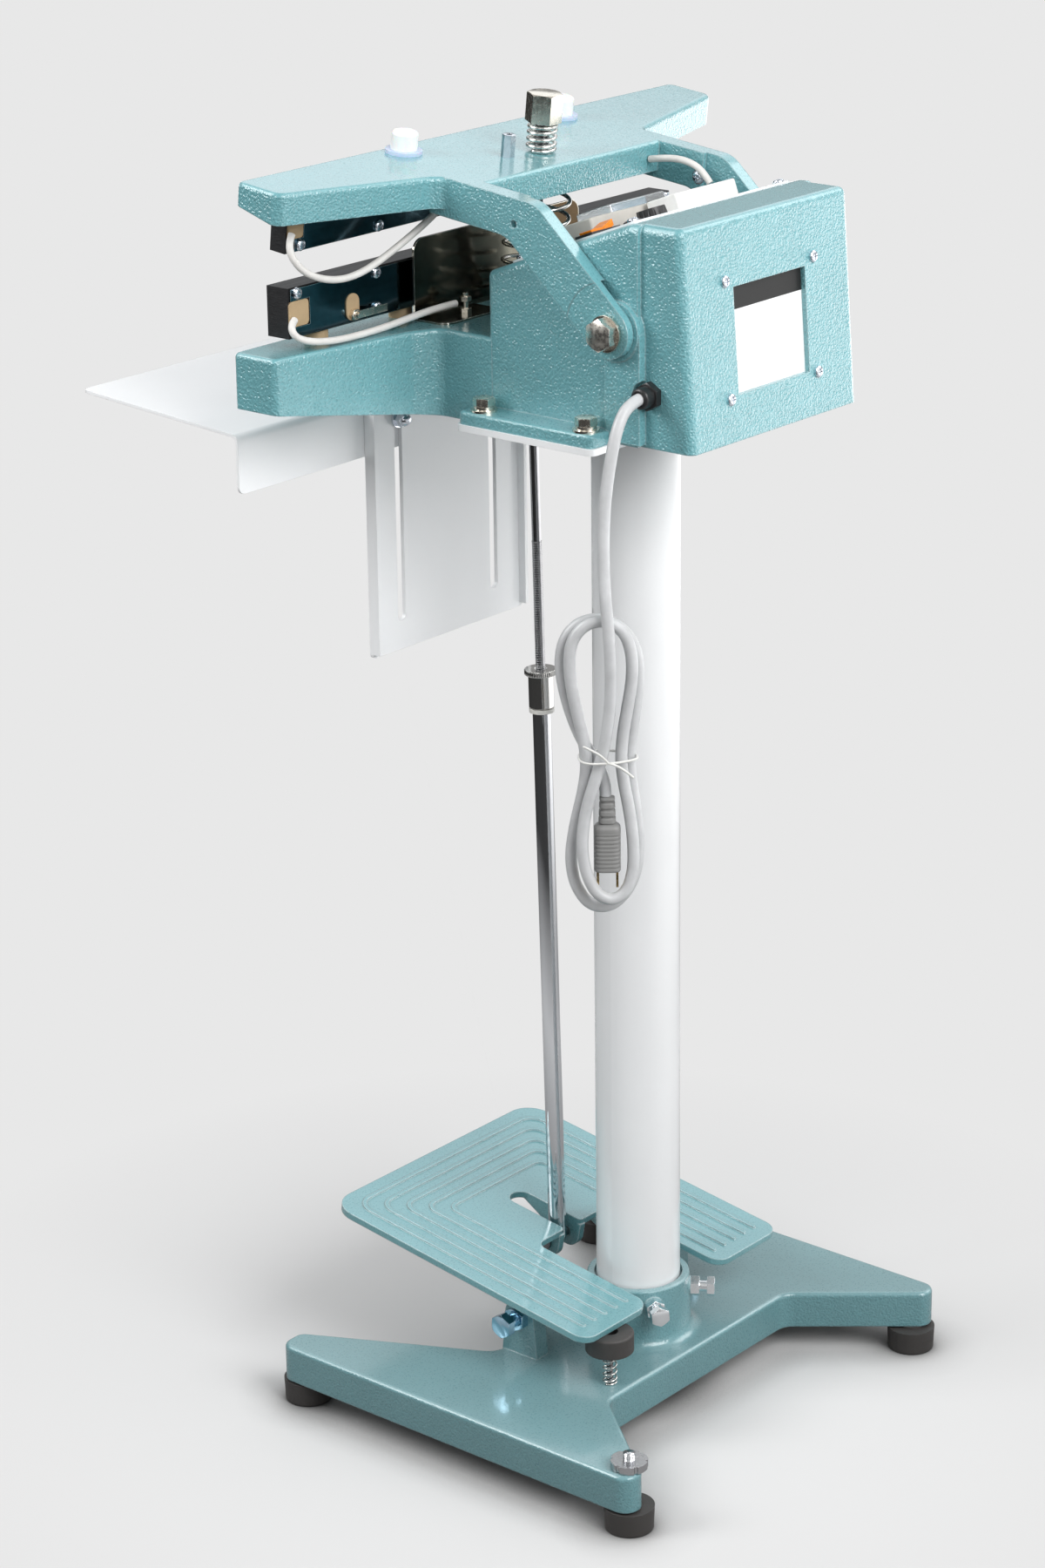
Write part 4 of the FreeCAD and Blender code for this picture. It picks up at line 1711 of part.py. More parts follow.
def shelf_bolt():
    seat = shelf_back - SHELF_THICK
    reach = RAIL_THICK + SHELF_THICK + 2 * LOOSE + M6_DEPTH
    return hex_bolt(M6_AF, M6_HEAD, M6_R, reach, V(SLOT_X, seat, SHELF_BOLT_Z), -Y_AXIS)


def make_shelf():
    keep("slotted_plate", slotted_plate())
    keep("shelf", shelf())
    keep("shelf_clamps", *(pair(shelf_bolt()) + pair(dome_nut())))


# mains cord

def on_hank(shape):
    """From a drawing (across, through, height) to the hank's upright plane."""
    piece = shape.copy()
    piece.rotate(V(0, 0, 0), Z_AXIS, HANK_TURN)
    piece.translate(V(HANK_X, HANK_Y, 0))
    return piece


def cord_hank():
    """Outer shape of the tied bundle: two loops and a waist, with room for the plug."""
    upper = HANK_TOP - HANK_UPPER_HALF
    lower = HANK_BOTTOM + HANK_LOWER_HALF
    flat = HANK_STRAIGHT
    points = both_sides([(HANK_UPPER_HALF, HANK_TOP), (HANK_UPPER_HALF, upper - flat),
                         (HANK_WAIST_HALF, HANK_WAIST + flat), (HANK_WAIST_HALF, HANK_WAIST - flat),
                         (HANK_LOWER_HALF, lower + 2 * flat), (HANK_LOWER_HALF, HANK_BOTTOM)])
    wide, tight = HANK_BENDS
    half = [HANK_UPPER_HALF - LOOSE, wide, tight, tight, wide, HANK_LOWER_HALF - LOOSE]
    body = prism_y(points, -HANK_THICK / 2, HANK_THICK / 2, half + half[::-1])
    side = PLUG_HALF + HANK_ROOM
    room = prism_y(rectangle(-side, side, HANK_BOTTOM + 3 * CORD_R, RELIEF_TOP), -BIG, BIG, PLUG_EDGE_R)
    return on_hank(body.cut(room))


def cord_tie():
    half = HANK_WAIST_HALF + TIE_THICK
    through = HANK_THICK / 2 + TIE_THICK
    z0, z1 = HANK_WAIST - TIE_HALF_HEIGHT, HANK_WAIST + TIE_HALF_HEIGHT
    band = block(-half, half, -through, through, z0, z1, 4)
    inside = block(-HANK_WAIST_HALF, HANK_WAIST_HALF, -HANK_THICK / 2, HANK_THICK / 2, z0 - PAST, z1 + PAST)
    return on_hank(band.cut(inside))


def plug_body():
    body = block(-PLUG_HALF, PLUG_HALF, -PLUG_DEPTH / 2, PLUG_DEPTH / 2, PLUG_BOTTOM, PLUG_TOP, PLUG_EDGE_R)
    start = PLUG_TOP - PAST
    relief = turned([(0, start), (RELIEF_R, start), (RELIEF_TIP_R, RELIEF_TOP), (0, RELIEF_TOP)])
    holes = [blade_shape(x, FIT, PLUG_BOTTOM - PAST, PLUG_BOTTOM + BLADE_SINK) for x in blade_places()]
    return on_hank(fuse([body, relief]).cut(holes))


def blade_places():
    return (-BLADE_PITCH / 2, BLADE_PITCH / 2)


def blade_shape(x, gap, bottom, top):
    half = BLADE_THICK / 2 + gap
    width = BLADE_HALF_WIDTH + gap
    return block(x - half, x + half, -width, width, bottom, top)


def plug_blade(x):
    return on_hank(blade_shape(x, 0, BLADE_BOTTOM, PLUG_BOTTOM + BLADE_SINK - LOOSE))


def make_cord():
    keep("mains_cord", tube_along(CORD_ROUTE, CORD_R, "mains cord"))
    keep("cord_hank", cord_hank())
    keep("cord_tie", cord_tie())
    keep("plug_body", plug_body())
    keep("plug_blades", *[plug_blade(x) for x in blade_places()])


make_base()
make_pole()
make_pedal()
make_pull_rod()
make_frame()
make_panel()
make_jaw()
make_pressure()
make_lower_bar()
make_shelf()
make_cord()

os.makedirs("parts", exist_ok=True)
for name, shape in nodes.items():
    shape.exportStep("parts/" + name + ".step")
print(len(nodes), "pieces written")
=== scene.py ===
import json
import math

import bmesh
import bpy
import numpy as np
from bpy.props import FloatProperty, FloatVectorProperty, PointerProperty
from mathutils import Matrix, Vector


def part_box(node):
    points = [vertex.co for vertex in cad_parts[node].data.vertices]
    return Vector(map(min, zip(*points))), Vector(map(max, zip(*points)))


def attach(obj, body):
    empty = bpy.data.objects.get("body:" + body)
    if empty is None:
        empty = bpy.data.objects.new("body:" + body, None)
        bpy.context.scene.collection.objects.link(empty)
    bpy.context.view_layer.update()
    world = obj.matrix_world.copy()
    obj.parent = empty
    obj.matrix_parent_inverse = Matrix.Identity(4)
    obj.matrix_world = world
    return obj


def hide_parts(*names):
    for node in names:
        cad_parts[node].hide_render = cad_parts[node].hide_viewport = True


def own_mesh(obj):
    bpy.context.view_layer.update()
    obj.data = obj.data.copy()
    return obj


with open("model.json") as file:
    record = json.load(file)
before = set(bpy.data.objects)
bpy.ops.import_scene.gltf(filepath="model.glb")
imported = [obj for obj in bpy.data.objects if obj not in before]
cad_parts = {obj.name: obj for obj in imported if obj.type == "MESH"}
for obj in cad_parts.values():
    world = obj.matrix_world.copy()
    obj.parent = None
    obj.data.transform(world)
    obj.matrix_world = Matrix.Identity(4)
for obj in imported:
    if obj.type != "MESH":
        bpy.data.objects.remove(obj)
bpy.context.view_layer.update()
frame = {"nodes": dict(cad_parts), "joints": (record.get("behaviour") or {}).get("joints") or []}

bl_info = {
    "name": "Foot operated heat sealer",
    "version": (1, 0, 0),
    "blender": (4, 5, 0),
    "location": "View3D > Sidebar > Heat sealer",
    "description": "Finishes, springs, threads, leads and mains cord of a heat sealer on a pole",
    "category": "Object",
}

# All lengths in metres. +Z is up, -Y is the operator's side, +X the side of the mains cord.

# distance under which points are one, and angles past which faces meet in a sharp edge
WELD = 1e-6
CREASE = math.radians(35)
NUT_CREASE = math.radians(30)

# camera, solved from the photograph's edges
CAMERA_PLACE = (2.0432, 1.7003, 1.3916)
CAMERA_AZIMUTH = 130.02
CAMERA_ELEVATION = 19.62
CAMERA_ROLL = -0.77
CAMERA_LENS = 91.52

# open jaw: a level point of it turns about the pivot by the joint's whole travel
JOINTS = {joint["name"]: joint for joint in frame["joints"]}
JAW_PIVOT = np.array(JOINTS["jaw_pivot"]["pos_m"])
JAW_OPEN = math.radians(JOINTS["jaw_pivot"]["range_deg"][1])

# heights of the level jaw's top, its ceiling and the deck, and the pressure bolt's place on Y
JAW_TOP = 0.8785
JAW_CEILING = 0.8725
DECK = 0.790
BOLT_PLACE_Y = -0.001

# stage: grey of the backdrop and of the paper, half of the paper's width, side of the key lamp
BACKDROP = 0.807
PAPER = 0.70
PAPER_HALF = 20.0
KEY_SIDE = (-0.64, 0.77, 0.0)

# side on which reflections see a painted glow on the paper, and the reach of the painted contact shadow under
# pieces near it
GLOW_SIDE = (-0.97, 0.24, 0.0)
GLOW = 2.2
CONTACT_SHADOW_REACH = 0.038

# brightest side of the room, colour of the lamp at the back, directions of the panels that only
# reflections see
SKY_SIDE = (-0.45, 0.65, 0.60)
WHITE = (1.0, 1.0, 1.0)
BACK_TINT = (0.92, 0.96, 1.0)
EDGE_GLOWS = ((0.34, -0.61, 0.72), (-0.72, 0.34, 0.61))
EDGE_GLOW = 3.6

# enamel's rounded edges, the colour of their thin paint lightened by a painted highlight, their chipped
# colour, dust with a painted sheen on top; shade of dull patches on metal
EDGE_ROUND = 0.0014
THIN_ENAMEL_AND_HIGHLIGHT = (0.62, 0.76, 0.78)
CHIPPED_ENAMEL = (0.80, 0.84, 0.84)
DUST_AND_SHEEN = (0.70, 0.72, 0.71)
DULLED = 0.45
RUBBER = (0.052, 0.048, 0.046)

# mains cord: route from the gland down to the hank
CORD_DIAMETER = 0.008
CORD_DROP = [(0.1025, 0.1720, 0.7700), (0.1150, 0.1723, 0.7685), (0.1260, 0.1728, 0.7570),
             (0.1330, 0.1722, 0.7350), (0.1385, 0.1716, 0.7060), (0.1410, 0.1726, 0.6720)]

# hank of the cord: strands in its own plane (across, up from the floor, out to the front)
HANK_PLACE = (0.1376, 0.1720)
HANK_TURN = math.radians(130.0)
HANK_STRANDS = [
    (-0.0006, 0.6464, 0.0085), (0.0011, 0.6310, 0.0100), (0.0021, 0.6150, 0.0100),
    (0.0028, 0.5950, 0.0085), (0.0022, 0.5750, 0.0070), (-0.0002, 0.5560, 0.0055),
    (-0.0036, 0.5389, 0.0050), (-0.0080, 0.5240, 0.0050), (-0.0132, 0.5070, 0.0050),
    (-0.0162, 0.4900, 0.0050), (-0.0166, 0.4740, 0.0050), (-0.0136, 0.4580, 0.0050),
    (-0.0070, 0.4450, 0.0050), (0.0035, 0.4405, 0.0045), (0.0130, 0.4470, 0.0035),
    (0.0172, 0.4620, 0.0025), (0.0168, 0.4840, 0.0020), (0.0140, 0.5050, 0.0018),
    (0.0105, 0.5230, 0.0018), (0.0090, 0.5390, 0.0018), (0.0105, 0.5560, 0.0018),
    (0.0136, 0.5740, 0.0018), (0.0168, 0.5940, 0.0018), (0.0162, 0.6120, 0.0018),
    (0.0105, 0.6260, 0.0018), (-0.0008, 0.6325, 0.0018), (-0.0135, 0.6300, 0.0018),
    (-0.0225, 0.6190, 0.0018), (-0.0242, 0.6020, 0.0018), (-0.0220, 0.5830, 0.0015),
    (-0.0180, 0.5650, 0.0010), (-0.0143, 0.5480, 0.0008), (-0.0132, 0.5320, 0.0000),
    (-0.0152, 0.5160, -0.0030), (-0.0190, 0.4990, -0.0055), (-0.0225, 0.4820, -0.0062),
    (-0.0242, 0.4650, -0.0062), (-0.0210, 0.4470, -0.0062), (-0.0115, 0.4330, -0.0062),
    (0.0020, 0.4320, -0.0062), (0.0135, 0.4430, -0.0064), (0.0200, 0.4600, -0.0065),
    (0.0208, 0.4800, -0.0065), (0.0188, 0.5000, -0.0065), (0.0158, 0.5200, -0.0065),
    (0.0148, 0.5370, -0.0065), (0.0164, 0.5540, -0.0065), (0.0192, 0.5730, -0.0065),
    (0.0212, 0.5930, -0.0065), (0.0195, 0.6100, -0.0065), (0.0120, 0.6240, -0.0065),
    (-0.0010, 0.6305, -0.0065), (-0.0150, 0.6300, -0.0065), (-0.0262, 0.6200, -0.0065),
    (-0.0300, 0.6040, -0.0065), (-0.0280, 0.5860, -0.0065), (-0.0235, 0.5680, -0.0068),
    (-0.0170, 0.5500, -0.0076), (-0.0095, 0.5370, -0.0080), (-0.0030, 0.5250, -0.0075),
    (-0.0008, 0.5170, -0.0060), (-0.0008, 0.5090, -0.0045)]

# tie, plug and the plug's strain relief
TIE_HEIGHT = 0.5385
TIE_HALF_ACROSS = 0.0190
TIE_HALF_DEPTH = 0.0128
TIE_CENTRE = (0.0008, -0.0008)
TIE_WIRE = 0.0008
PLUG_TOP = 0.494
PLUG_BOTTOM = 0.4606
PLUG_HALF_WIDTH = 0.00875
PLUG_HALF_DEPTH = 0.0070
PLUG_SHOULDER = 0.004
PLUG_RIBS = 12
RIB_DEPTH = 0.045
PLUG_OUT = -0.0005
RELIEF_TOP = 0.511
RELIEF_RADIUS = 0.0052
RELIEF_PITCH = 0.0052
RELIEF_RING = 0.0030

# threads: radius of the crest, depth, pitch and length; where the rod's starts above its pin
ROD_THREAD = (0.0036, 0.0007, 0.00125, 0.118)
BOLT_THREAD = (0.00535, 0.0007, 0.0015, 0.019)
STUD_THREAD = (0.0042, 0.0008, 0.00125, 0.0052)
ROD_THREAD_FROM = 0.410
STUD_PROUD = 0.0003

# springs: wire and turns, the play at the return spring's ends, the pressure spring's length
RETURN_WIRE = 0.0028
RETURN_TURNS = 9
RETURN_PLAY = 0.0019
PRESSURE_WIRE = 0.0026
PRESSURE_TURNS = 4.5
PRESSURE_LENGTH = 0.0198
BUMPER_WIRE = 0.0013
BUMPER_TURNS = 6

# adjusting nut with its knurled rim: its bore, body and rim, and its ring of ridges
NUT_FROM = 0.4075
NUT_BORE = 0.0034
NUT_MOUTH = 0.0048
NUT_RADIUS = 0.00885
NUT_RIM_RADIUS = 0.0115
NUT_RIM_FROM = 0.0240
NUT_RIM_TO = 0.0280
NUT_RIDGES = 60
NUT_CHAMFER = 0.0004
KNURL = 0.020

# leads of the heaters, at the level jaw for the first and the last
LEAD_DIAMETER = 0.0048
UPPER_LEAD = [(0.1990, -0.0408, 0.8455), (0.2055, -0.0384, 0.8380), (0.2015, -0.0310, 0.8255),
              (0.1880, -0.0270, 0.8175), (0.1690, -0.0255, 0.8130), (0.1480, -0.0250, 0.8138),
              (0.1270, -0.0240, 0.8210), (0.1080, -0.0215, 0.8310), (0.0900, -0.0185, 0.8420),
              (0.0770, -0.0160, 0.8530), (0.0700, -0.0140, 0.8660)]
LOWER_LEAD = [(0.1990, -0.0355, 0.8105), (0.2070, -0.0320, 0.8085), (0.2060, -0.0285, 0.8010),
              (0.1920, -0.0260, 0.7960), (0.1710, -0.0250, 0.7934), (0.1480, -0.0245, 0.7930),
              (0.1240, -0.0240, 0.7936), (0.0980, -0.0230, 0.7960), (0.0760, -0.0210, 0.7980),
              (0.0590, -0.0185, 0.7986)]
CLIP_LEAD = [(-0.0805, 0.0300, 0.8675), (-0.0820, 0.0440, 0.8715), (-0.0840, 0.0580, 0.8725),
             (-0.0855, 0.0710, 0.8690), (-0.0860, 0.0785, 0.8610)]
UPPER_LEAD_LENGTH = 0.178
LOWER_LEAD_LENGTH = 0.165
CLIP_LEAD_LENGTH = 0.052


def opened(points):
    """Points of the level jaw, turned about its pivot to where the open jaw holds them."""
    cosine, sine = math.cos(JAW_OPEN), math.sin(JAW_OPEN)
    away = np.array(points, float) - JAW_PIVOT
    turned = np.stack([away[..., 0], away[..., 1] * cosine + away[..., 2] * sine,
                       away[..., 2] * cosine - away[..., 1] * sine], axis=-1)
    return turned + JAW_PIVOT


def jaw_up():
    """Direction square to the open jaw's top."""
    return opened([0, BOLT_PLACE_Y, JAW_TOP + 1]) - opened([0, BOLT_PLACE_Y, JAW_TOP])


def on_hank(points):
    """Points (across, height, out) of the hank's plane, in the frame."""
    p = np.array(points, float)
    across = np.array([math.cos(HANK_TURN), math.sin(HANK_TURN)])
    out = np.array([math.sin(HANK_TURN), -math.cos(HANK_TURN)])
    flat = np.array(HANK_PLACE) + p[..., :1] * across + p[..., 2:] * out
    return np.concatenate([flat, p[..., 1:2]], axis=-1)


# shader graphs

def feed(tree, node, inputs):
    """Sets or links the node's inputs, which are values or sockets, by name or number."""
    for key, value in inputs.items():
        if isinstance(value, bpy.types.NodeSocket):
            tree.links.new(value, node.inputs[key])
        else:
            node.inputs[key].default_value = value
    return node


def add(tree, kind, inputs=None, **settings):
    """A shader node with its settings and inputs."""
    made = tree.nodes.new("ShaderNode" + kind)
    for key, value in settings.items():
        setattr(made, key, value)
    return feed(tree, made, inputs or {})


def combined(tree, operation, first, second):
    """Two values added, multiplied or compared."""
    return add(tree, "Math", {0: first, 1: second}, operation=operation).outputs[0]


def towards(tree, vector, side):
    """How far the vector reaches along the side."""
    return add(tree, "VectorMath", {0: vector, 1: side}, operation="DOT_PRODUCT").outputs["Value"]


def coordinate(tree, vector, letter):
    """One coordinate of the vector."""
    return add(tree, "SeparateXYZ", {0: vector}).outputs[letter]


def noise(tree, vector, scale, detail, roughness=0.5):
    """Value of a noise with so many patches in a metre."""
    return add(tree, "TexNoise", {"Vector": vector, "Scale": scale, "Detail": detail,
                                  "Roughness": roughness}).outputs["Fac"]


def mixed(tree, factor, low, high):
    """Colour between two colours or sockets by a factor socket."""
    made = add(tree, "Mix", {0: factor}, data_type="RGBA")
    for number, value in ((6, low), (7, high)):
        feed(tree, made, {number: value if isinstance(value, bpy.types.NodeSocket) else (*value[:3], 1.0)})
    return made.outputs[2]


def ranged(tree, value, low, high, start=0, end=1):
    """The value's span from low to high carried to the span from start to end."""
    return add(tree, "MapRange", {"Value": value, "From Min": low, "From Max": high, "To Min": start,
                                  "To Max": end}).outputs[0]


def shade(colour, times):
    return tuple(min(1.0, c * times) for c in colour[:3])


def shader_group(name, inputs, outputs):
    """An empty group: inputs with their usual values, None for a linked vector, and typed outputs."""
    group = bpy.data.node_groups.new(name, "ShaderNodeTree")
    for label, value in inputs.items():
        kind = "NodeSocketFloat" if isinstance(value, float) else "NodeSocketVector"
        socket = group.interface.new_socket(label, in_out="INPUT", socket_type=kind)
        if value is not None:
            socket.default_value = value
    for label, kind in outputs.items():
        group.interface.new_socket(label, in_out="OUTPUT", socket_type="NodeSocket" + kind)
    return group, group.nodes.new("NodeGroupInput").outputs, group.nodes.new("NodeGroupOutput")


def peel_group():
    """Hammered or orange peel skin: rounded cells broken up by noise, as a normal and as a shade."""
    group, entry, leave = shader_group(
        "Peel skin", {"Vector": None, "Scale": 500.0, "Depth": 0.0002, "Radius": 0.0004},
        {"Normal": "Vector", "Shade": "Float"})
    edge = add(group, "Bevel", {"Radius": entry["Radius"]}, samples=4)
    broken = add(group, "TexNoise", {"Vector": entry["Vector"], "Scale": entry["Scale"], "Detail": 1.5,
                                     "Roughness": 0.5, "Distortion": 0.1})
    cells = add(group, "TexVoronoi", {"Vector": entry["Vector"], "Scale": entry["Scale"],
                                      "Smoothness": 0.8}, feature="SMOOTH_F1")
    both = combined(group, "ADD", cells.outputs["Distance"], broken.outputs["Fac"])
    bump = add(group, "Bump", {"Height": both, "Distance": entry["Depth"], "Strength": 1.0,
                               "Normal": edge.outputs[0]})
    feed(group, leave, {"Normal": bump.outputs["Normal"], "Shade": both})
    return group


def rub_group():
    """Edge rub: where a rounded normal differs from the flat one, in patches."""
    group, entry, leave = shader_group(
        "Edge rub", {"Vector": None, "Width": 0.001, "Patch": 60.0, "Cover": 0.5}, {"Mask": "Float"})
    round_edge = add(group, "Bevel", {"Radius": entry["Width"]}, samples=4)
    agree = towards(group, round_edge.outputs[0], add(group, "NewGeometry").outputs["Normal"])
    edge = ranged(group, agree, 0.995, 0.90)
    patch = combined(group, "GREATER_THAN", noise(group, entry["Vector"], entry["Patch"], 6.0, 0.7),
                     entry["Cover"])
    feed(group, leave, {"Mask": combined(group, "MULTIPLY", edge, patch)})
    return group


def grain_group():
    """Drawn or brushed grain: noise stretched along one direction, as a value and a normal."""
    group, entry, leave = shader_group(
        "Drawn grain",
        {"Vector": None, "Stretch": (1.0, 1.0, 1.0), "Depth": 0.00003, "Radius": 0.0003},
        {"Normal": "Vector", "Value": "Float"})
    edge = add(group, "Bevel", {"Radius": entry["Radius"]}, samples=4)
    place = add(group, "VectorMath", {0: entry["Vector"], 1: entry["Stretch"]}, operation="MULTIPLY")
    value = noise(group, place.outputs[0], 1.0, 4.0, 0.6)
    bump = add(group, "Bump", {"Height": value, "Distance": entry["Depth"], "Strength": 1.0,
                               "Normal": edge.outputs[0]})
    feed(group, leave, {"Normal": bump.outputs["Normal"], "Value": value})
    return group


SHARED = {}


def use_group(tree, maker, inputs):
    """Outputs of the maker's group, which is made once and shared by all materials."""
    if maker not in SHARED:
        SHARED[maker] = maker()
    made = tree.nodes.new("ShaderNodeGroup")
    made.node_tree = SHARED[maker]
    return feed(tree, made, inputs).outputs


def peel(tree, where, scale, depth, radius=0.0004):
    return use_group(tree, peel_group, {"Vector": where, "Scale": scale, "Depth": depth, "Radius": radius})


def rub(tree, where, width, patch, cover):
    return use_group(tree, rub_group, {"Vector": where, "Width": width, "Patch": patch,
                                       "Cover": cover})["Mask"]


def grain(tree, where, stretch, depth):
    return use_group(tree, grain_group, {"Vector": where, "Stretch": stretch, "Depth": depth})


def new_material(name, **sockets):
    """Material with one Principled shader; sockets are its plain numbers and colours."""
    material = bpy.data.materials.new(name)
    material.use_nodes = True
    tree = material.node_tree
    tree.nodes.clear()
    out = tree.nodes.new("ShaderNodeOutputMaterial")
    shader = tree.nodes.new("ShaderNodeBsdfPrincipled")
    for key, value in sockets.items():
        shader.inputs[key.replace("_", " ")].default_value = value
    tree.links.new(shader.outputs[0], out.inputs[0])
    where = tree.nodes.new("ShaderNodeTexCoord").outputs["Object"]
    return material, tree, shader, where


# finishes

def enamel(name, colour, depth, scale, bright=0.40, dust_and_sheen=0.0):
    """Hammered enamel over cast metal: rough on its sides, smooth where it faces up, with a cloudy
    tint, thin paint on the edges lightened by a painted highlight, small chips, and on top a little
    dust with a painted sheen."""
    material, tree, shader, where = new_material(name, Roughness=0.30, Coat_Weight=1.0, Coat_Roughness=0.08)
    rise = coordinate(tree, add(tree, "NewGeometry").outputs["Normal"], "Z")
    skin = peel(tree, where, scale, ranged(tree, rise, 0.25, 0.80, depth, depth * 0.10), EDGE_ROUND)
    cloud = ranged(tree, noise(tree, where, 14.0, 5.0, 0.6), 0.35, 0.65)
    look = mixed(tree, cloud, shade(colour, 0.96), shade(colour, 1.05))
    look = mixed(tree, ranged(tree, skin["Shade"], 0.75, 1.3, 0, 0.3), look, shade(colour, 1.35))
    # edges of thin paint, lightened further by a painted highlight; bright is the painted highlight's
    # strength
    thin_paint_and_highlight = ranged(tree, rub(tree, where, EDGE_ROUND, 90.0, 0.36), 0, 1, 0, bright)
    look = mixed(tree, thin_paint_and_highlight, look, THIN_ENAMEL_AND_HIGHLIGHT)
    look = mixed(tree, rub(tree, where, 0.0011, 170.0, 0.66), look, CHIPPED_ENAMEL)
    # upward faces lighter: a little dust, and a painted sheen on top
    look = mixed(tree, ranged(tree, rise, 0.6, 1.0, 0, dust_and_sheen), look, DUST_AND_SHEEN)
    feed(tree, shader, {
        "Base Color": look, "Normal": skin["Normal"], "Coat Normal": skin["Normal"],
        "Roughness": ranged(tree, skin["Shade"], 0.5, 1.3, 0.24, 0.36)})
    return material


def powder(name, colour, gloss):
    """Smooth powder coat with a faint peel."""
    material, tree, shader, where = new_material(name, Roughness=gloss, Coat_Weight=0.3, Coat_Roughness=0.12)
    cloud = noise(tree, where, 9.0, 4.0)
    look = mixed(tree, ranged(tree, cloud, 0.35, 0.65), shade(colour, 0.975), shade(colour, 1.01))
    worn = ranged(tree, rub(tree, where, 0.0010, 70.0, 0.42), 0, 1, 0, 0.35)
    feed(tree, shader, {
        "Base Color": mixed(tree, worn, look, shade(colour, 1.12)),
        "Normal": peel(tree, where, 320.0, 0.00002)["Normal"],
        "Roughness": ranged(tree, cloud, 0.3, 0.7, gloss * 0.85, gloss * 1.2)})
    return material


def metal(name, colour, roughness, stretch=(300.0, 300.0, 300.0), depth=0.00002, dirt=0.25, cut=None,
          beyond=None):
    """Bare or plated metal with fine grain, dulled in patches; cut is the colour of bright edges,
    beyond a second colour on one axis (its letter, where it starts and is full, the colour)."""
    material, tree, shader, where = new_material(name, Metallic=1.0, Roughness=roughness)
    fine = grain(tree, where, stretch, depth)
    worn = ranged(tree, noise(tree, where, 120.0, 4.0, 0.6), 0.40, 0.70, 0.0, dirt)
    look = colour
    dull = shade(colour, DULLED)
    if beyond:
        letter, start, full, second = beyond
        past = ranged(tree, coordinate(tree, where, letter), start, full)
        look = mixed(tree, past, colour, second)
        dull = mixed(tree, past, dull, shade(second, DULLED))
    look = mixed(tree, worn, look, dull)
    if cut:
        look = mixed(tree, rub(tree, where, 0.0010, 90.0, 0.0), look, cut)
    feed(tree, shader, {
        "Base Color": look, "Normal": fine["Normal"],
        "Roughness": ranged(tree, fine["Value"], 0.3, 0.7, roughness * 0.7, roughness * 1.4)})
    return material


def moulding(name, colour, roughness, depth=0.00003, scale=900.0):
    """Moulded plastic or rubber with a fine matt skin and slight soiling."""
    material, tree, shader, where = new_material(name, Roughness=roughness)
    cloud = noise(tree, where, 60.0, 5.0, 0.65)
    soiled = ranged(tree, cloud, 0.35, 0.7)
    feed(tree, shader, {
        "Base Color": mixed(tree, soiled, colour, shade(colour, 0.86)),
        "Normal": peel(tree, where, scale, depth)["Normal"],
        "Roughness": ranged(tree, cloud, 0.3, 0.7, roughness * 0.9, roughness * 1.15)})
    return material


def footed(name, rubber, plate, edge):
    """Rubber foot with a plated stud: rubber below the height, metal above it."""
    material, tree, shader, where = new_material(name)
    stud = combined(tree, "GREATER_THAN", coordinate(tree, where, "Z"), edge)
    feed(tree, shader, {
        "Base Color": mixed(tree, stud, rubber, plate), "Metallic": stud,
        "Normal": peel(tree, where, 600.0, 0.00004)["Normal"],
        "Roughness": ranged(tree, stud, 0, 1, 0.55, 0.28)})
    return material


def sawn_bar(name, colour):
    """Black anodised bar: fine lines along its length, saw marks on its two ends."""
    material, tree, shader, where = new_material(name, Roughness=0.42, Metallic=0.2, Specular_IOR_Level=0.15)
    lines = grain(tree, where, (12.0, 1600.0, 1600.0), 0.00002)
    sawn = grain(tree, where, (1.0, 160.0, 2600.0), 0.0002)
    facing = coordinate(tree, add(tree, "NewGeometry").outputs["Normal"], "X")
    facing = add(tree, "Math", {0: facing}, operation="ABSOLUTE").outputs[0]
    end = combined(tree, "GREATER_THAN", facing, 0.8)
    marks = mixed(tree, sawn["Value"], shade(colour, 0.5), shade(colour, 2.6))
    look = mixed(tree, lines["Value"], shade(colour, 0.8), shade(colour, 1.3))
    normal = add(tree, "Mix", {0: end, 4: lines["Normal"], 5: sawn["Normal"]}, data_type="VECTOR")
    feed(tree, shader, {
        "Base Color": mixed(tree, end, look, marks), "Normal": normal.outputs[1],
        "Roughness": ranged(tree, lines["Value"], 0.3, 0.7, 0.32, 0.5)})
    return material


def banded_plate(name, colour, band, band_from):
    """Plain printed plate: white with one dark band at its head."""
    material, tree, shader, where = new_material(name, Roughness=0.45, Specular_IOR_Level=0.2)
    head = combined(tree, "GREATER_THAN", coordinate(tree, where, "Z"), band_from)
    feed(tree, shader, {
        "Base Color": mixed(tree, head, colour, band),
        "Normal": peel(tree, where, 700.0, 0.00001)["Normal"]})
    return material


def clear_cover(name):
    """Clear plastic, a little dulled."""
    material, tree, shader, where = new_material(name, Transmission_Weight=0.85, IOR=1.35, Roughness=0.12,
                                                 Base_Color=(0.90, 0.93, 0.95, 1.0))
    haze = noise(tree, where, 220.0, 3.0)
    feed(tree, shader, {"Roughness": ranged(tree, haze, 0.3, 0.7, 0.06, 0.22)})
    return material


def capped(name, colour, ring_colour, edge):
    """White cap on a cloudy ring: the ring's colour below the height, measured square to the jaw."""
    material, tree, shader, where = new_material(name, Roughness=0.38, Subsurface_Weight=0.25,
                                                 Subsurface_Scale=0.004)
    turn = add(tree, "Mapping", {"Vector": where, "Rotation": (JAW_OPEN, 0.0, 0.0)})
    cap = combined(tree, "GREATER_THAN", coordinate(tree, turn.outputs[0], "Z"), edge)
    feed(tree, shader, {
        "Base Color": mixed(tree, cap, ring_colour, colour),
        "Normal": peel(tree, where, 800.0, 0.00002)["Normal"]})
    return material


def dress(nodes, material):
    """Gives the material to these pieces of the frame."""
    for name in nodes:
        piece = frame["nodes"][name]
        piece.data.materials.clear()
        piece.data.materials.append(material)


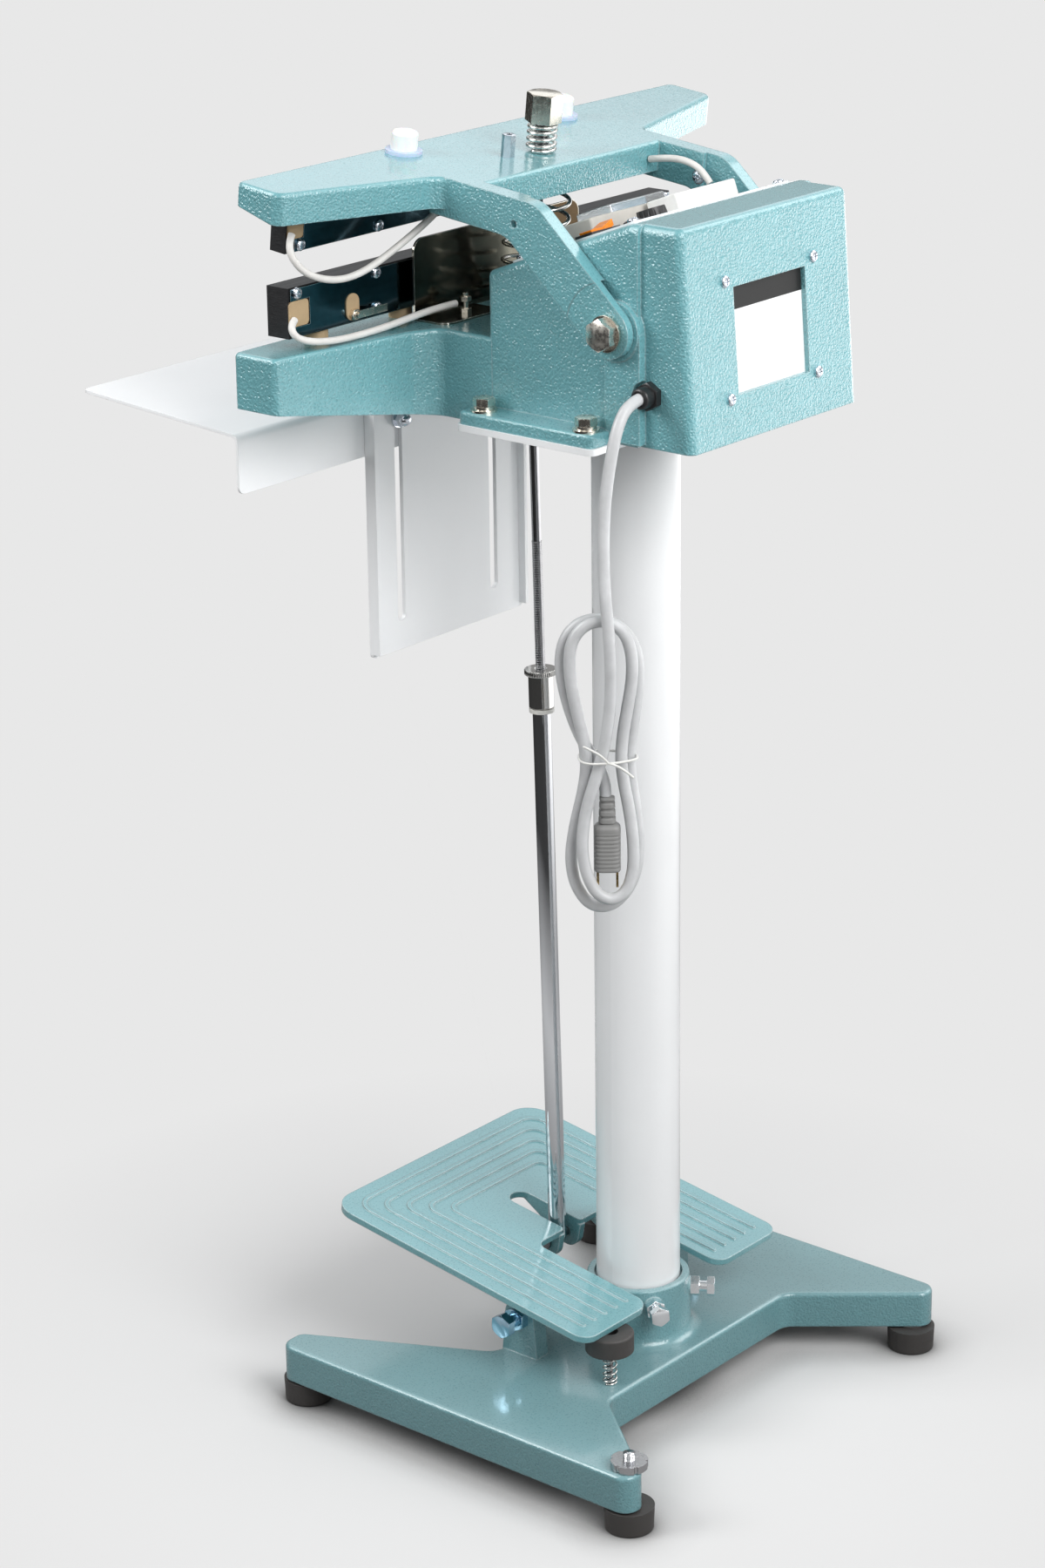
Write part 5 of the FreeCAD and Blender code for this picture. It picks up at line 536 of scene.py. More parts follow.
def crisp(nodes):
    """Flat facets with sharp edges on hexagons and heads, and smooth round faces between them."""
    for name in nodes:
        piece = frame["nodes"][name]
        normals = piece.data.attributes.get("custom_normal")
        if normals:
            piece.data.attributes.remove(normals)
        piece.data.shade_smooth()
        piece.modifiers.new("weld", "WELD").merge_threshold = WELD
        piece.modifiers.new("split", "EDGE_SPLIT").split_angle = CREASE


# surfaces from formulas, and curves

def grid_piece(name, points, material, body):
    """Mesh of a grid of points, rows along and columns around; end rows that meet in a point
    close it."""
    rows, columns = points.shape[:2]
    row, column = np.meshgrid(np.arange(rows - 1), np.arange(columns), indexing="ij")
    after = (column + 1) % columns
    quads = np.stack([row * columns + column, row * columns + after, (row + 1) * columns + after,
                      (row + 1) * columns + column], axis=-1)
    mesh = bpy.data.meshes.new(name)
    mesh.from_pydata(points.reshape(-1, 3).tolist(), [], quads.reshape(-1, 4).tolist())
    shell = bmesh.new()
    shell.from_mesh(mesh)
    bmesh.ops.remove_doubles(shell, verts=shell.verts, dist=WELD)
    bmesh.ops.recalc_face_normals(shell, faces=shell.faces)
    shell.to_mesh(mesh)
    shell.free()
    mesh.shade_smooth()
    return place_piece(name, mesh, material, body)


def new_object(name, data):
    made = bpy.data.objects.new(name, data)
    bpy.context.scene.collection.objects.link(made)
    return made


def place_piece(name, data, material, body):
    """Object of the mesh or curve in this material, on its body."""
    piece = new_object(name, data)
    data.materials.append(material)
    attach(piece, body)
    return piece


def aimed(points, base, axis):
    """Points about +Z at the origin, turned to the axis and moved to base."""
    turn = np.array(Vector((0, 0, 1)).rotation_difference(Vector(axis)).to_matrix())
    return points @ turn.T + np.array(base)


def lathed(profile, steps):
    """Profile of (radius, height) turned about +Z: (r cos t, r sin t, h)."""
    angle = circle(steps)
    radius, height = np.array(profile, float).T[:, :, None]
    return np.stack([radius * np.cos(angle), radius * np.sin(angle), height + 0 * angle], axis=-1)


def circle(steps):
    """Angles of evenly spaced points round a circle."""
    return np.linspace(0, 2 * math.pi, steps, endpoint=False)


def superellipse(angle, power):
    """Cosine and sine of the angle, raised to the power with their signs kept."""
    return [np.sign(value) * np.abs(value) ** power for value in (np.cos(angle), np.sin(angle))]


def with_ends(rows, low, high):
    """Rows of a tube, closed by a point below and a point above."""
    first, last = (np.broadcast_to(np.array(point, float), (1, rows.shape[1], 3)) for point in (low, high))
    return np.concatenate([first, rows, last])


def coil_points(radius, wire, length, turns, sides=12, steps=40):
    """Compression spring about +Z. The line is (R cos t, R sin t, h(t)), where the rise of h is the
    wire's thickness in the closed end turns and even in between; the wire's circle stands on it."""
    count = int(turns * steps) + 1
    t = np.linspace(0, turns, count)
    rise = np.clip(np.minimum(t, turns - t) - 0.6, 0, 0.5) / 0.5
    spare = length - wire * (1 + turns)
    slope = wire + spare * rise / np.trapz(rise, t)
    height = np.concatenate([[0], np.cumsum((slope[1:] + slope[:-1]) / 2 * np.diff(t))]) + wire / 2
    angle = 2 * math.pi * t
    outward = np.stack([np.cos(angle), np.sin(angle), 0 * t], axis=-1)
    ahead = np.stack([-radius * np.sin(angle), radius * np.cos(angle), slope / (2 * math.pi)], axis=-1)
    ahead /= np.linalg.norm(ahead, axis=-1, keepdims=True)
    upward = np.cross(outward, ahead) * -1
    line = outward * radius + np.stack([0 * t, 0 * t, height], axis=-1)
    around = circle(sides)[None, :, None]
    ring = np.cos(around) * outward[:, None] + np.sin(around) * upward[:, None]
    return with_ends(line[:, None] + wire / 2 * ring, line[0], line[-1])


def thread_points(radius, depth, pitch, length, sides=24, cuts=8):
    """Screw thread about +Z: the radius falls from the crest by a V of the turn's share, and the
    groove fades out over one pitch at both ends."""
    along = np.linspace(0, length, int(length / pitch * cuts) + 1)
    around = circle(sides)
    share = (along[:, None] / pitch - around[None, :] / (2 * math.pi)) % 1.0
    groove = np.clip(1.25 * (1 - np.abs(2 * share - 1)) - 0.1, 0, 1)
    fade = np.clip(np.minimum(along, length - along) / pitch, 0, 1)[:, None]
    size = radius - depth * groove * fade
    body = np.stack([size * np.cos(around), size * np.sin(around), along[:, None] + 0 * around], axis=-1)
    return with_ends(body, (0, 0, 0), (0, 0, length))


def round_curve(name, routes, radius, sides):
    """Curve with a round section, and a quadratic NURBS spline on each route's control points."""
    curve = bpy.data.curves.new(name, "CURVE")
    curve.dimensions = "3D"
    for points in routes:
        spline = curve.splines.new("NURBS")
        spline.points.add(len(points) - 1)
        spline.points.foreach_set("co", np.concatenate([points, np.ones((len(points), 1))], axis=1).ravel())
        spline.order_u = 3
        spline.use_endpoint_u = True
    curve.bevel_depth = radius
    curve.bevel_resolution = sides
    curve.use_fill_caps = True
    return curve


def cord_curve(name, points, diameter, material, body):
    """Round cord on a route's control points."""
    curve = round_curve(name, [points], diameter / 2, 5)
    curve.splines[0].resolution_u = 8
    return place_piece(name, curve, material, body)


# operators, in the order in which main calls them

class Camera(bpy.types.Operator):
    """Stands the camera where the photograph was taken from"""
    bl_idname = "heatsealer.camera"
    bl_label = "Camera"

    def execute(self, context):
        azimuth, elevation = math.radians(CAMERA_AZIMUTH), math.radians(CAMERA_ELEVATION)
        back = Vector((math.sin(azimuth) * math.cos(elevation), -math.cos(azimuth) * math.cos(elevation),
                       math.sin(elevation)))
        right = Vector((math.cos(azimuth), math.sin(azimuth), 0))
        up = back.cross(right)
        roll = Matrix.Rotation(math.radians(CAMERA_ROLL), 3, back)
        turn = Matrix((roll @ right, roll @ up, back)).transposed()
        data = bpy.data.cameras.new("photo_camera")
        data.lens = CAMERA_LENS
        data.clip_end = 100.0
        camera = new_object("photo_camera", data)
        camera.matrix_world = Matrix.Translation(CAMERA_PLACE) @ turn.to_4x4()
        context.scene.camera = camera
        return {"FINISHED"}


class MainsCord(bpy.types.Operator):
    """Runs the mains cord out of its gland into the tied hank, with its plug"""
    bl_idname = "heatsealer.mains_cord"
    bl_label = "Mains cord"

    def execute(self, context):
        finish = context.scene.heat_sealer_finish
        grey = moulding("cord_pvc", finish.cord, 0.34, 0.00001, 500.0)
        route = np.concatenate([np.array(CORD_DROP), on_hank(HANK_STRANDS)])
        cord = cord_curve("mains_lead", route, CORD_DIAMETER, grey, "frame")
        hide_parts("mains_cord", "cord_hank")
        tie = self.twist_tie(context)
        plug = self.plug(context)
        return {"FINISHED"}

    def twist_tie(self, context):
        """Tie round the strands: a ring (a |cos t|^0.8, b |sin t|^0.8) with the signs of cos t and
        sin t, which rises and falls by sin 2t, and two tails that leave its knot."""
        white = moulding("tie_plastic", (0.80, 0.80, 0.77), 0.4)
        turn = np.linspace(0, 2 * math.pi, 73)
        across, out = superellipse(turn, 0.8)
        line = np.stack([TIE_HALF_ACROSS * across + TIE_CENTRE[0],
                         TIE_HEIGHT + TIE_WIRE * np.sin(2 * turn),
                         TIE_HALF_DEPTH * out + TIE_CENTRE[1]], axis=-1)
        knot = np.array([TIE_CENTRE[0], TIE_HEIGHT, TIE_HALF_DEPTH + TIE_CENTRE[1]])
        tails = [knot + np.array([(0, 0, 0), (-0.003, 0.004, 0.0008), (-0.009, 0.0085, 0.0010),
                                  (-0.0165, 0.0120, 0.0006)]),
                 knot + np.array([(0, 0, 0), (0.004, -0.0005, 0.0012), (0.010, -0.0040, 0.0014),
                                  (0.0160, -0.0095, 0.0010)])]
        curve = round_curve("twist_tie", [on_hank(points) for points in [line] + tails], TIE_WIRE, 3)
        tie = place_piece("twist_tie", curve, white, "frame")
        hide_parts("cord_tie")
        return tie

    def plug(self, context):
        """Flat plug: the section (w |cos t|^0.6, d |sin t|^0.6) with the signs of cos t and sin t,
        where w and d follow the height, with ribs on the grip and rings on the strain relief."""
        finish = context.scene.heat_sealer_finish
        grey = moulding("plug_rubber", finish.plug, 0.5, 0.00002)
        height = np.linspace(PLUG_BOTTOM, RELIEF_TOP, 220)
        grip = np.clip((PLUG_TOP - height) / PLUG_SHOULDER, 0, 1)
        shoulder = np.sqrt(np.clip(1 - (1 - grip) ** 2, 0, 1))
        part = (height - PLUG_BOTTOM) / (PLUG_TOP - PLUG_BOTTOM)
        ribs = 1 - RIB_DEPTH * (np.cos(2 * math.pi * PLUG_RIBS * part) > 0.1)
        ribs = np.where(height < PLUG_TOP - 0.006, ribs, 1.0)
        rings = np.where((height - PLUG_TOP) % RELIEF_PITCH < RELIEF_RING, 1.0, 0.76)
        wide = np.where(height < PLUG_TOP, PLUG_HALF_WIDTH * shoulder * ribs, 0)
        deep = np.where(height < PLUG_TOP, PLUG_HALF_DEPTH * shoulder * ribs, 0)
        relief = RELIEF_RADIUS * rings * np.clip(1.1 - 8 * np.clip(height - PLUG_TOP, 0, 1), 0.7, 1.1)
        wide, deep = np.maximum(wide, relief), np.maximum(deep, relief * 0.9)
        across, out = superellipse(circle(40), 0.6)
        side = np.stack([wide[:, None] * across, height[:, None] + 0 * out,
                         deep[:, None] * out + PLUG_OUT], axis=-1)
        points = with_ends(side, (0, PLUG_BOTTOM, PLUG_OUT), (0, RELIEF_TOP, PLUG_OUT))
        piece = grid_piece("plug_grip", on_hank(points), grey, "frame")
        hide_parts("plug_body")
        return piece


class HeaterLeads(bpy.types.Operator):
    """Hangs the white sleeved leads of the heaters"""
    bl_idname = "heatsealer.heater_leads"
    bl_label = "Heater leads"

    def execute(self, context):
        sleeve = moulding("lead_sleeve", (0.80, 0.78, 0.75), 0.45, 0.00002, 700.0)
        leads = (("upper_heater_lead", opened(UPPER_LEAD), "jaw", UPPER_LEAD_LENGTH, "upper_leads"),
                 ("clip_lead", opened(CLIP_LEAD), "jaw", CLIP_LEAD_LENGTH, None),
                 ("lower_heater_lead", np.array(LOWER_LEAD), "frame", LOWER_LEAD_LENGTH, "lower_lead"))
        for name, route, body, length, node in leads:
            lead = cord_curve(name, route, LEAD_DIAMETER, sleeve, body)
            if node:
                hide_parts(node)
        return {"FINISHED"}


class Springs(bpy.types.Operator):
    """Winds the round wire springs of the jaw, the pressure bolt and the bumper"""
    bl_idname = "heatsealer.springs"
    bl_label = "Springs"

    def execute(self, context):
        sizes = context.scene.heat_sealer_sizes
        bright = metal("spring_wire", (0.72, 0.71, 0.68), 0.22, (900.0, 900.0, 900.0))
        foot = np.array([0, BOLT_PLACE_Y, DECK])
        head = opened([0, BOLT_PLACE_Y, JAW_CEILING])
        axis = head - foot
        length = np.linalg.norm(axis)
        axis /= length
        points = coil_points(sizes.return_radius, RETURN_WIRE, length - 2 * RETURN_PLAY, RETURN_TURNS)
        spring = grid_piece("return_coil", aimed(points, foot + axis * RETURN_PLAY, axis), bright, "frame")
        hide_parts("return_spring")
        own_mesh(spring)
        upward = jaw_up()
        seat = opened([0, BOLT_PLACE_Y, JAW_TOP + 0.0001])
        points = coil_points(sizes.pressure_radius, PRESSURE_WIRE, PRESSURE_LENGTH, PRESSURE_TURNS)
        spring = grid_piece("pressure_coil", aimed(points, seat, upward), bright, "jaw")
        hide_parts("pressure_spring")
        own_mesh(spring)
        low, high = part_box("bumper_spring")
        centre = (low + high) / 2
        radius = (high.x - low.x) / 2 - BUMPER_WIRE / 2
        points = coil_points(radius, BUMPER_WIRE, high.z - low.z, BUMPER_TURNS, steps=28)
        spring = grid_piece("bumper_coil", aimed(points, (centre.x, centre.y, low.z), (0, 0, 1)), bright,
                            "frame")
        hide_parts("bumper_spring")
        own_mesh(spring)
        return {"FINISHED"}


class Threads(bpy.types.Operator):
    """Cuts the threads that show on the pull rod, the pressure bolt and the levelling foot"""
    bl_idname = "heatsealer.threads"
    bl_label = "Threads"

    def execute(self, context):
        drawn = metal("drawn_rod", (0.42, 0.42, 0.43), 0.28, (900.0, 900.0, 90.0))
        axis = np.array(JOINTS["adjusting_nut_turn"]["axis"])
        pin = np.array(JOINTS["rod_pivot"]["pos_m"])
        points = aimed(thread_points(*ROD_THREAD), pin + axis * ROD_THREAD_FROM, axis)
        grid_piece("rod_thread", points, drawn, "pull_rod")
        points = aimed(thread_points(*BOLT_THREAD), opened([0, BOLT_PLACE_Y, JAW_TOP + 0.0005]), jaw_up())
        grid_piece("pressure_thread", points, drawn, "pressure_bolt")
        low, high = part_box("levelling_foot")
        centre = (low + high) / 2
        base = (centre.x, centre.y, high.z + STUD_PROUD - STUD_THREAD[3])
        plated = metal("stud_zinc", (0.78, 0.80, 0.82), 0.14, dirt=0.1)
        grid_piece("stud_thread", aimed(thread_points(*STUD_THREAD), base, (0, 0, 1)), plated,
                   "levelling_foot")
        self.adjusting_nut(pin + axis * NUT_FROM, axis)
        return {"FINISHED"}

    def adjusting_nut(self, base, axis):
        """Adjusting nut with a knurled rim: the profile's radius r(h) turned about the axis, and
        r (1 - k (1 - cos n t)) on the rim, for n ridges of depth k."""
        polished = metal("polished_nut", (0.66, 0.65, 0.63), 0.07, dirt=0.04)
        body, rim, foot, top = NUT_RADIUS, NUT_RIM_RADIUS, NUT_RIM_FROM, NUT_RIM_TO
        cut = NUT_CHAMFER
        profile = [(NUT_BORE, 0.0), (body - cut, 0.0), (body, cut), (body, foot), (rim - cut, foot),
                   (rim, foot + cut), (rim, top - cut), (rim - cut, top), (NUT_MOUTH, top),
                   (NUT_BORE, top - 0.0010)]
        proud = (np.array(profile)[:, 0] > rim - cut / 4)[:, None]
        depth = 1 - proud * KNURL * (1 - np.cos(NUT_RIDGES * circle(NUT_RIDGES * 6)))[None, :]
        points = lathed(profile, NUT_RIDGES * 6)
        points[..., :2] *= depth[..., None]
        nut = grid_piece("turned_nut", aimed(points, base, axis), polished, "adjusting_nut")
        nut.modifiers.new("split", "EDGE_SPLIT").split_angle = NUT_CREASE
        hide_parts("adjusting_nut")


class Castings(bpy.types.Operator):
    """Paints the castings and the pedal in hammered enamel"""
    bl_idname = "heatsealer.castings"
    bl_label = "Castings"

    def execute(self, context):
        finish = context.scene.heat_sealer_finish
        depth, scale = finish.peel_depth, finish.peel_scale
        dress(["lower_frame", "upper_jaw"], enamel("casting_enamel", finish.enamel, depth, scale))
        # the base gets a darker, greyer copy of the casting enamel: painted shade near the floor
        dress(["base_casting"],
              enamel("shaded_base_enamel", finish.shaded_base_enamel, depth * 0.5, scale * 1.1, dust_and_sheen=0.10))
        # the pedal gets a darker copy of the casting enamel, painted shade, with a stronger painted highlight
        # on its edges and beads
        dress(["pedal_plate"],
              enamel("shaded_pedal_enamel", shade(finish.enamel, 0.90), depth * 0.5, scale * 1.3, 0.75))
        return {"FINISHED"}


class SheetSteel(bpy.types.Operator):
    """Coats the pole, the shelf and the plates"""
    bl_idname = "heatsealer.sheet_steel"
    bl_label = "Sheet steel and pole"

    def execute(self, context):
        finish = context.scene.heat_sealer_finish
        dress(["pole_tube"], powder("pole_coat", finish.coat, 0.22))
        # the shelf and plates get a lighter copy of the pole's coat: painted light
        dress(["pole_plate", "slotted_plate", "shelf"], powder("lit_sheet_coat", shade(finish.coat, 1.14), 0.30))
        dress(["control_panel"], powder("panel_coat", shade(finish.coat, 0.97), 0.38))
        return {"FINISHED"}


class Hardware(bpy.types.Operator):
    """Plates the bolts, nuts, screws, rod and pins"""
    bl_idname = "heatsealer.hardware"
    bl_label = "Hardware"

    def execute(self, context):
        nickel = metal("nickel_plate", (0.80, 0.75, 0.66), 0.22, depth=0.00001, dirt=0.08)
        zinc = metal("zinc_plate", (0.70, 0.74, 0.80), 0.20, dirt=0.15)
        two_zincs = metal("set_bolt_zinc", (0.40, 0.60, 0.74), 0.14, dirt=0.05,
                          beyond=("Y", 0.080, 0.081, (0.93, 0.95, 0.97)))
        warm = metal("warm_nickel", (0.86, 0.82, 0.75), 0.26, depth=0.000005, dirt=0.0)
        bright = ["frame_bolts", "washers", "pressure_nut", "terminals"]
        plated = ["frame_screws", "shelf_clamps", "upper_bar_screws", "standoff_and_wire_clip"]
        dress(bright, nickel)
        dress(plated, zinc)
        dress(["set_bolts", "locknuts"], two_zincs)
        dress(["pivot_bolts"], warm)
        dress(["levelling_nut"], metal("round_nut", (0.50, 0.50, 0.51), 0.22, depth=0.000004, dirt=0.1))
        dress(["pull_tube"],
              metal("chrome_tube", (0.60, 0.61, 0.63), 0.05, (500.0, 500.0, 20.0), 0.000002, 0.02))
        dress(["threaded_rod", "rod_fork", "rod_pin", "bumper_screw", "bar_hangers", "pressure_bolt"],
              metal("bare_steel", (0.34, 0.34, 0.35), 0.16, dirt=0.2))
        dress(["jaw_bushes", "plug_blades"], metal("brass", (0.62, 0.46, 0.22), 0.28))
        crisp(bright + plated + ["pivot_bolts", "levelling_nut", "set_bolts", "locknuts", "cable_gland",
                                 "bumper_screw"])
        return {"FINISHED"}


class Bars(bpy.types.Operator):
    """Finishes the heated bars, their side plates, tabs and caps, and the guard plate"""
    bl_idname = "heatsealer.bars"
    bl_label = "Heated bars"

    def execute(self, context):
        dress(["lower_bar", "upper_bar"], sawn_bar("sealing_bar", (0.020, 0.020, 0.021)))
        dress(["lower_side_plate", "upper_side_plate"],
              metal("blued_plate", (0.085, 0.150, 0.185), 0.13, (8.0, 200.0, 300.0), 0.000006, 0.4,
                    (0.62, 0.66, 0.68)))
        # towards -X the guard plate turns dark brown: painted shade that dims its reflection on that side
        dress(["guard_plate"],
              metal("guard_mirror", (0.15, 0.145, 0.115), 0.15, (30.0, 30.0, 30.0), 0.00006, 0.4,
                    (0.86, 0.84, 0.76), ("X", -0.010, -0.060, (0.055, 0.036, 0.018))))
        dress(["lower_insulators", "upper_mica_tabs"],
              moulding("mica_board", (0.46, 0.33, 0.19), 0.6, 0.00003, 400.0))
        ring_top = Matrix.Rotation(JAW_OPEN, 3, "X") @ Vector(opened([0, BOLT_PLACE_Y, JAW_TOP + 0.0025]))
        dress(["bar_caps"], capped("cap_nylon", (0.86, 0.86, 0.85), (0.52, 0.62, 0.78), ring_top.z))
        return {"FINISHED"}


class Controls(bpy.types.Operator):
    """Finishes the control panel's boxes, knob, lamps and switch, and the rear plate"""
    bl_idname = "heatsealer.controls"
    bl_label = "Controls"

    def execute(self, context):
        dress(["controller_box"], moulding("controller_grey", (0.52, 0.50, 0.46), 0.5))
        dress(["controller_cover"], clear_cover("cover_clear"))
        dress(["junction_box"], moulding("junction_white", (0.82, 0.82, 0.80), 0.4))
        dress(["temperature_knob", "switch_frame_and_lamps", "cable_gland"],
              moulding("black_moulding", (0.018, 0.018, 0.019), 0.35))
        dress(["rocker_switch"], moulding("orange_paddle", (1.0, 0.28, 0.010), 0.25, 0.00001))
        dress(["nylon_ring"], moulding("nylon", (0.78, 0.77, 0.73), 0.4))
        dress(["rubber_feet", "bumper_pad"], moulding("foot_rubber", RUBBER, 0.55, 0.00004, 600.0))
        stud_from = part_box("levelling_nut")[0].z - 0.001
        dress(["levelling_foot"], footed("levelling_rubber", RUBBER, (0.66, 0.69, 0.73), stud_from))
        low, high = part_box("rear_plate")
        dress(["rear_plate"], banded_plate("plate_print", (0.86, 0.87, 0.87), (0.02, 0.02, 0.02),
                                           high.z - (high.z - low.z) * 0.30))
        return {"FINISHED"}


class Stage(bpy.types.Operator):
    """Lays the pale floor and sets the soft studio light"""
    bl_idname = "heatsealer.stage"
    bl_label = "Stage"

    def execute(self, context):
        self.floor(context)
        self.world(context)
        self.lamps(context)
        context.scene.view_settings.view_transform = "Standard"
        return {"FINISHED"}

    def floor(self, context):
        """Paper sweep. The camera sees it with the object's shadow, deepened by a painted contact shadow
        where the object is close above it, and as even as the backdrop farther out. Other rays see a
        painted shade of dark grey under the object, white paper round it, a painted pool of light on the
        key lamp's side and a painted dark room beyond. Glossy rays see a painted glow, a bright sweep at
        the far side."""
        half = PAPER_HALF
        mesh = bpy.data.meshes.new("floor")
        mesh.from_pydata([(-half, -half, 0), (half, -half, 0), (half, half, 0), (-half, half, 0)], [],
                         [(0, 1, 2, 3)])
        material, tree, shader, where = new_material("floor_paper", Roughness=0.9, Specular_IOR_Level=0.0,
                                                     Emission_Color=(*WHITE, 1.0))
        path = add(tree, "LightPath").outputs
        away = add(tree, "VectorMath", {0: where}, operation="LENGTH").outputs["Value"]
        # painted light and shade for rays other than the camera's: dark under the object, a pool of light on
        # the key lamp's side, a dark room beyond
        room = mixed(tree, path["Is Glossy Ray"], shade(WHITE, 0.04), shade(WHITE, 0.36))
        for distance, start, full, grey in ((away, 0.35, 0.62, 0.60), (away, 0.66, 1.10, 0.05),
                                            (towards(tree, where, KEY_SIDE), 0.60, 1.20, 0.85)):
            room = mixed(tree, ranged(tree, distance, start, full), room, shade(WHITE, grey))
        far = ranged(tree, away, 0.22, 0.52)
        # painted contact shadow: the paper darkens where a piece is close above it
        close = add(tree, "AmbientOcclusion", {"Distance": CONTACT_SHADOW_REACH}, samples=8).outputs["AO"]
        painted_contact_shadow = ranged(tree, close, 0.35, 0.95, 0.10, 1)
        black = shade(WHITE, 0.0)
        paper = mixed(tree, painted_contact_shadow, black, mixed(tree, far, shade(WHITE, PAPER), black))
        even = combined(tree, "MULTIPLY", ranged(tree, far, 0, 1, 0, BACKDROP), painted_contact_shadow)
        # painted glow on the far side of the paper, seen only in reflections
        sheen = ranged(tree, towards(tree, where, GLOW_SIDE), 0.8, 2.2, 0, GLOW)
        gloss = combined(tree, "MULTIPLY", sheen, path["Is Glossy Ray"])
        shown = add(tree, "Mix", {0: path["Is Camera Ray"], 2: gloss, 3: even}, data_type="FLOAT")
        feed(tree, shader, {"Base Color": mixed(tree, path["Is Camera Ray"], room, paper),
                            "Emission Strength": shown.outputs[0]})
        mesh.materials.append(material)
        floor = new_object("floor", mesh)

    def world(self, context):
        """Even backdrop for the camera; for light and reflections a room that is bright overhead and
        on the key lamp's side, and dim on the operator's side. Glossy rays also see two bright panels,
        which draw the highlights along the rounded upper edges."""
        world = bpy.data.worlds.new("studio")
        context.scene.world = world
        world.use_nodes = True
        tree = world.node_tree
        tree.nodes.clear()
        out = tree.nodes.new("ShaderNodeOutputWorld")
        room = add(tree, "TexCoord").outputs["Generated"]
        level = ranged(tree, towards(tree, room, SKY_SIDE), -0.6, 1.0, 0.10, 0.68)
        path = add(tree, "LightPath").outputs
        for side in EDGE_GLOWS:
            panel = ranged(tree, towards(tree, room, side), 0.93, 0.985, 0, EDGE_GLOW)
            glow = combined(tree, "MULTIPLY", panel, path["Is Glossy Ray"])
            level = combined(tree, "ADD", level, glow)
        shown = add(tree, "Mix", {0: path["Is Camera Ray"], 2: level, 3: BACKDROP}, data_type="FLOAT")
        light = add(tree, "Background", {"Color": (*WHITE, 1.0), "Strength": shown.outputs[0]})
        tree.links.new(light.outputs[0], out.inputs[0])

    def lamps(self, context):
        """Soft boxes: place, what they point at, width, height and power."""
        stage = context.scene.heat_sealer_stage
        for name, place, target, width, height, power in (
                ("key", (0.30, 2.10, 2.00), (0.0, 0.1, 0.75), 1.6, 1.6, stage.key),
                ("back", (-2.10, -1.50, 2.40), (0.0, 0.0, 0.85), 3.0, 1.5, stage.back),
                ("fill", (2.60, 0.90, 1.60), (0.0, 0.0, 0.60), 1.2, 1.8, stage.fill),
                ("side", (1.30, -0.90, 1.60), (0.0, 0.0, 0.85), 0.8, 1.0, stage.side)):
            data = bpy.data.lights.new(name, "AREA")
            data.shape = "RECTANGLE"
            data.size = width
            data.size_y = height
            data.energy = power
            data.color = BACK_TINT if name == "back" else WHITE
            lamp = new_object(name, data)
            aim = (Vector(target) - Vector(place)).to_track_quat("-Z", "Y")
            lamp.matrix_world = Matrix.Translation(place) @ aim.to_matrix().to_4x4()
            lamp.visible_camera = False


# settings that a user would change

def colour_property(label, about, value):
    return FloatVectorProperty(name=label, description=about, default=value, size=3, subtype="COLOR",
                               min=0, max=1)


def power_property(label, about, value):
    return FloatProperty(name=label, description=about, default=value, min=0, unit="POWER")


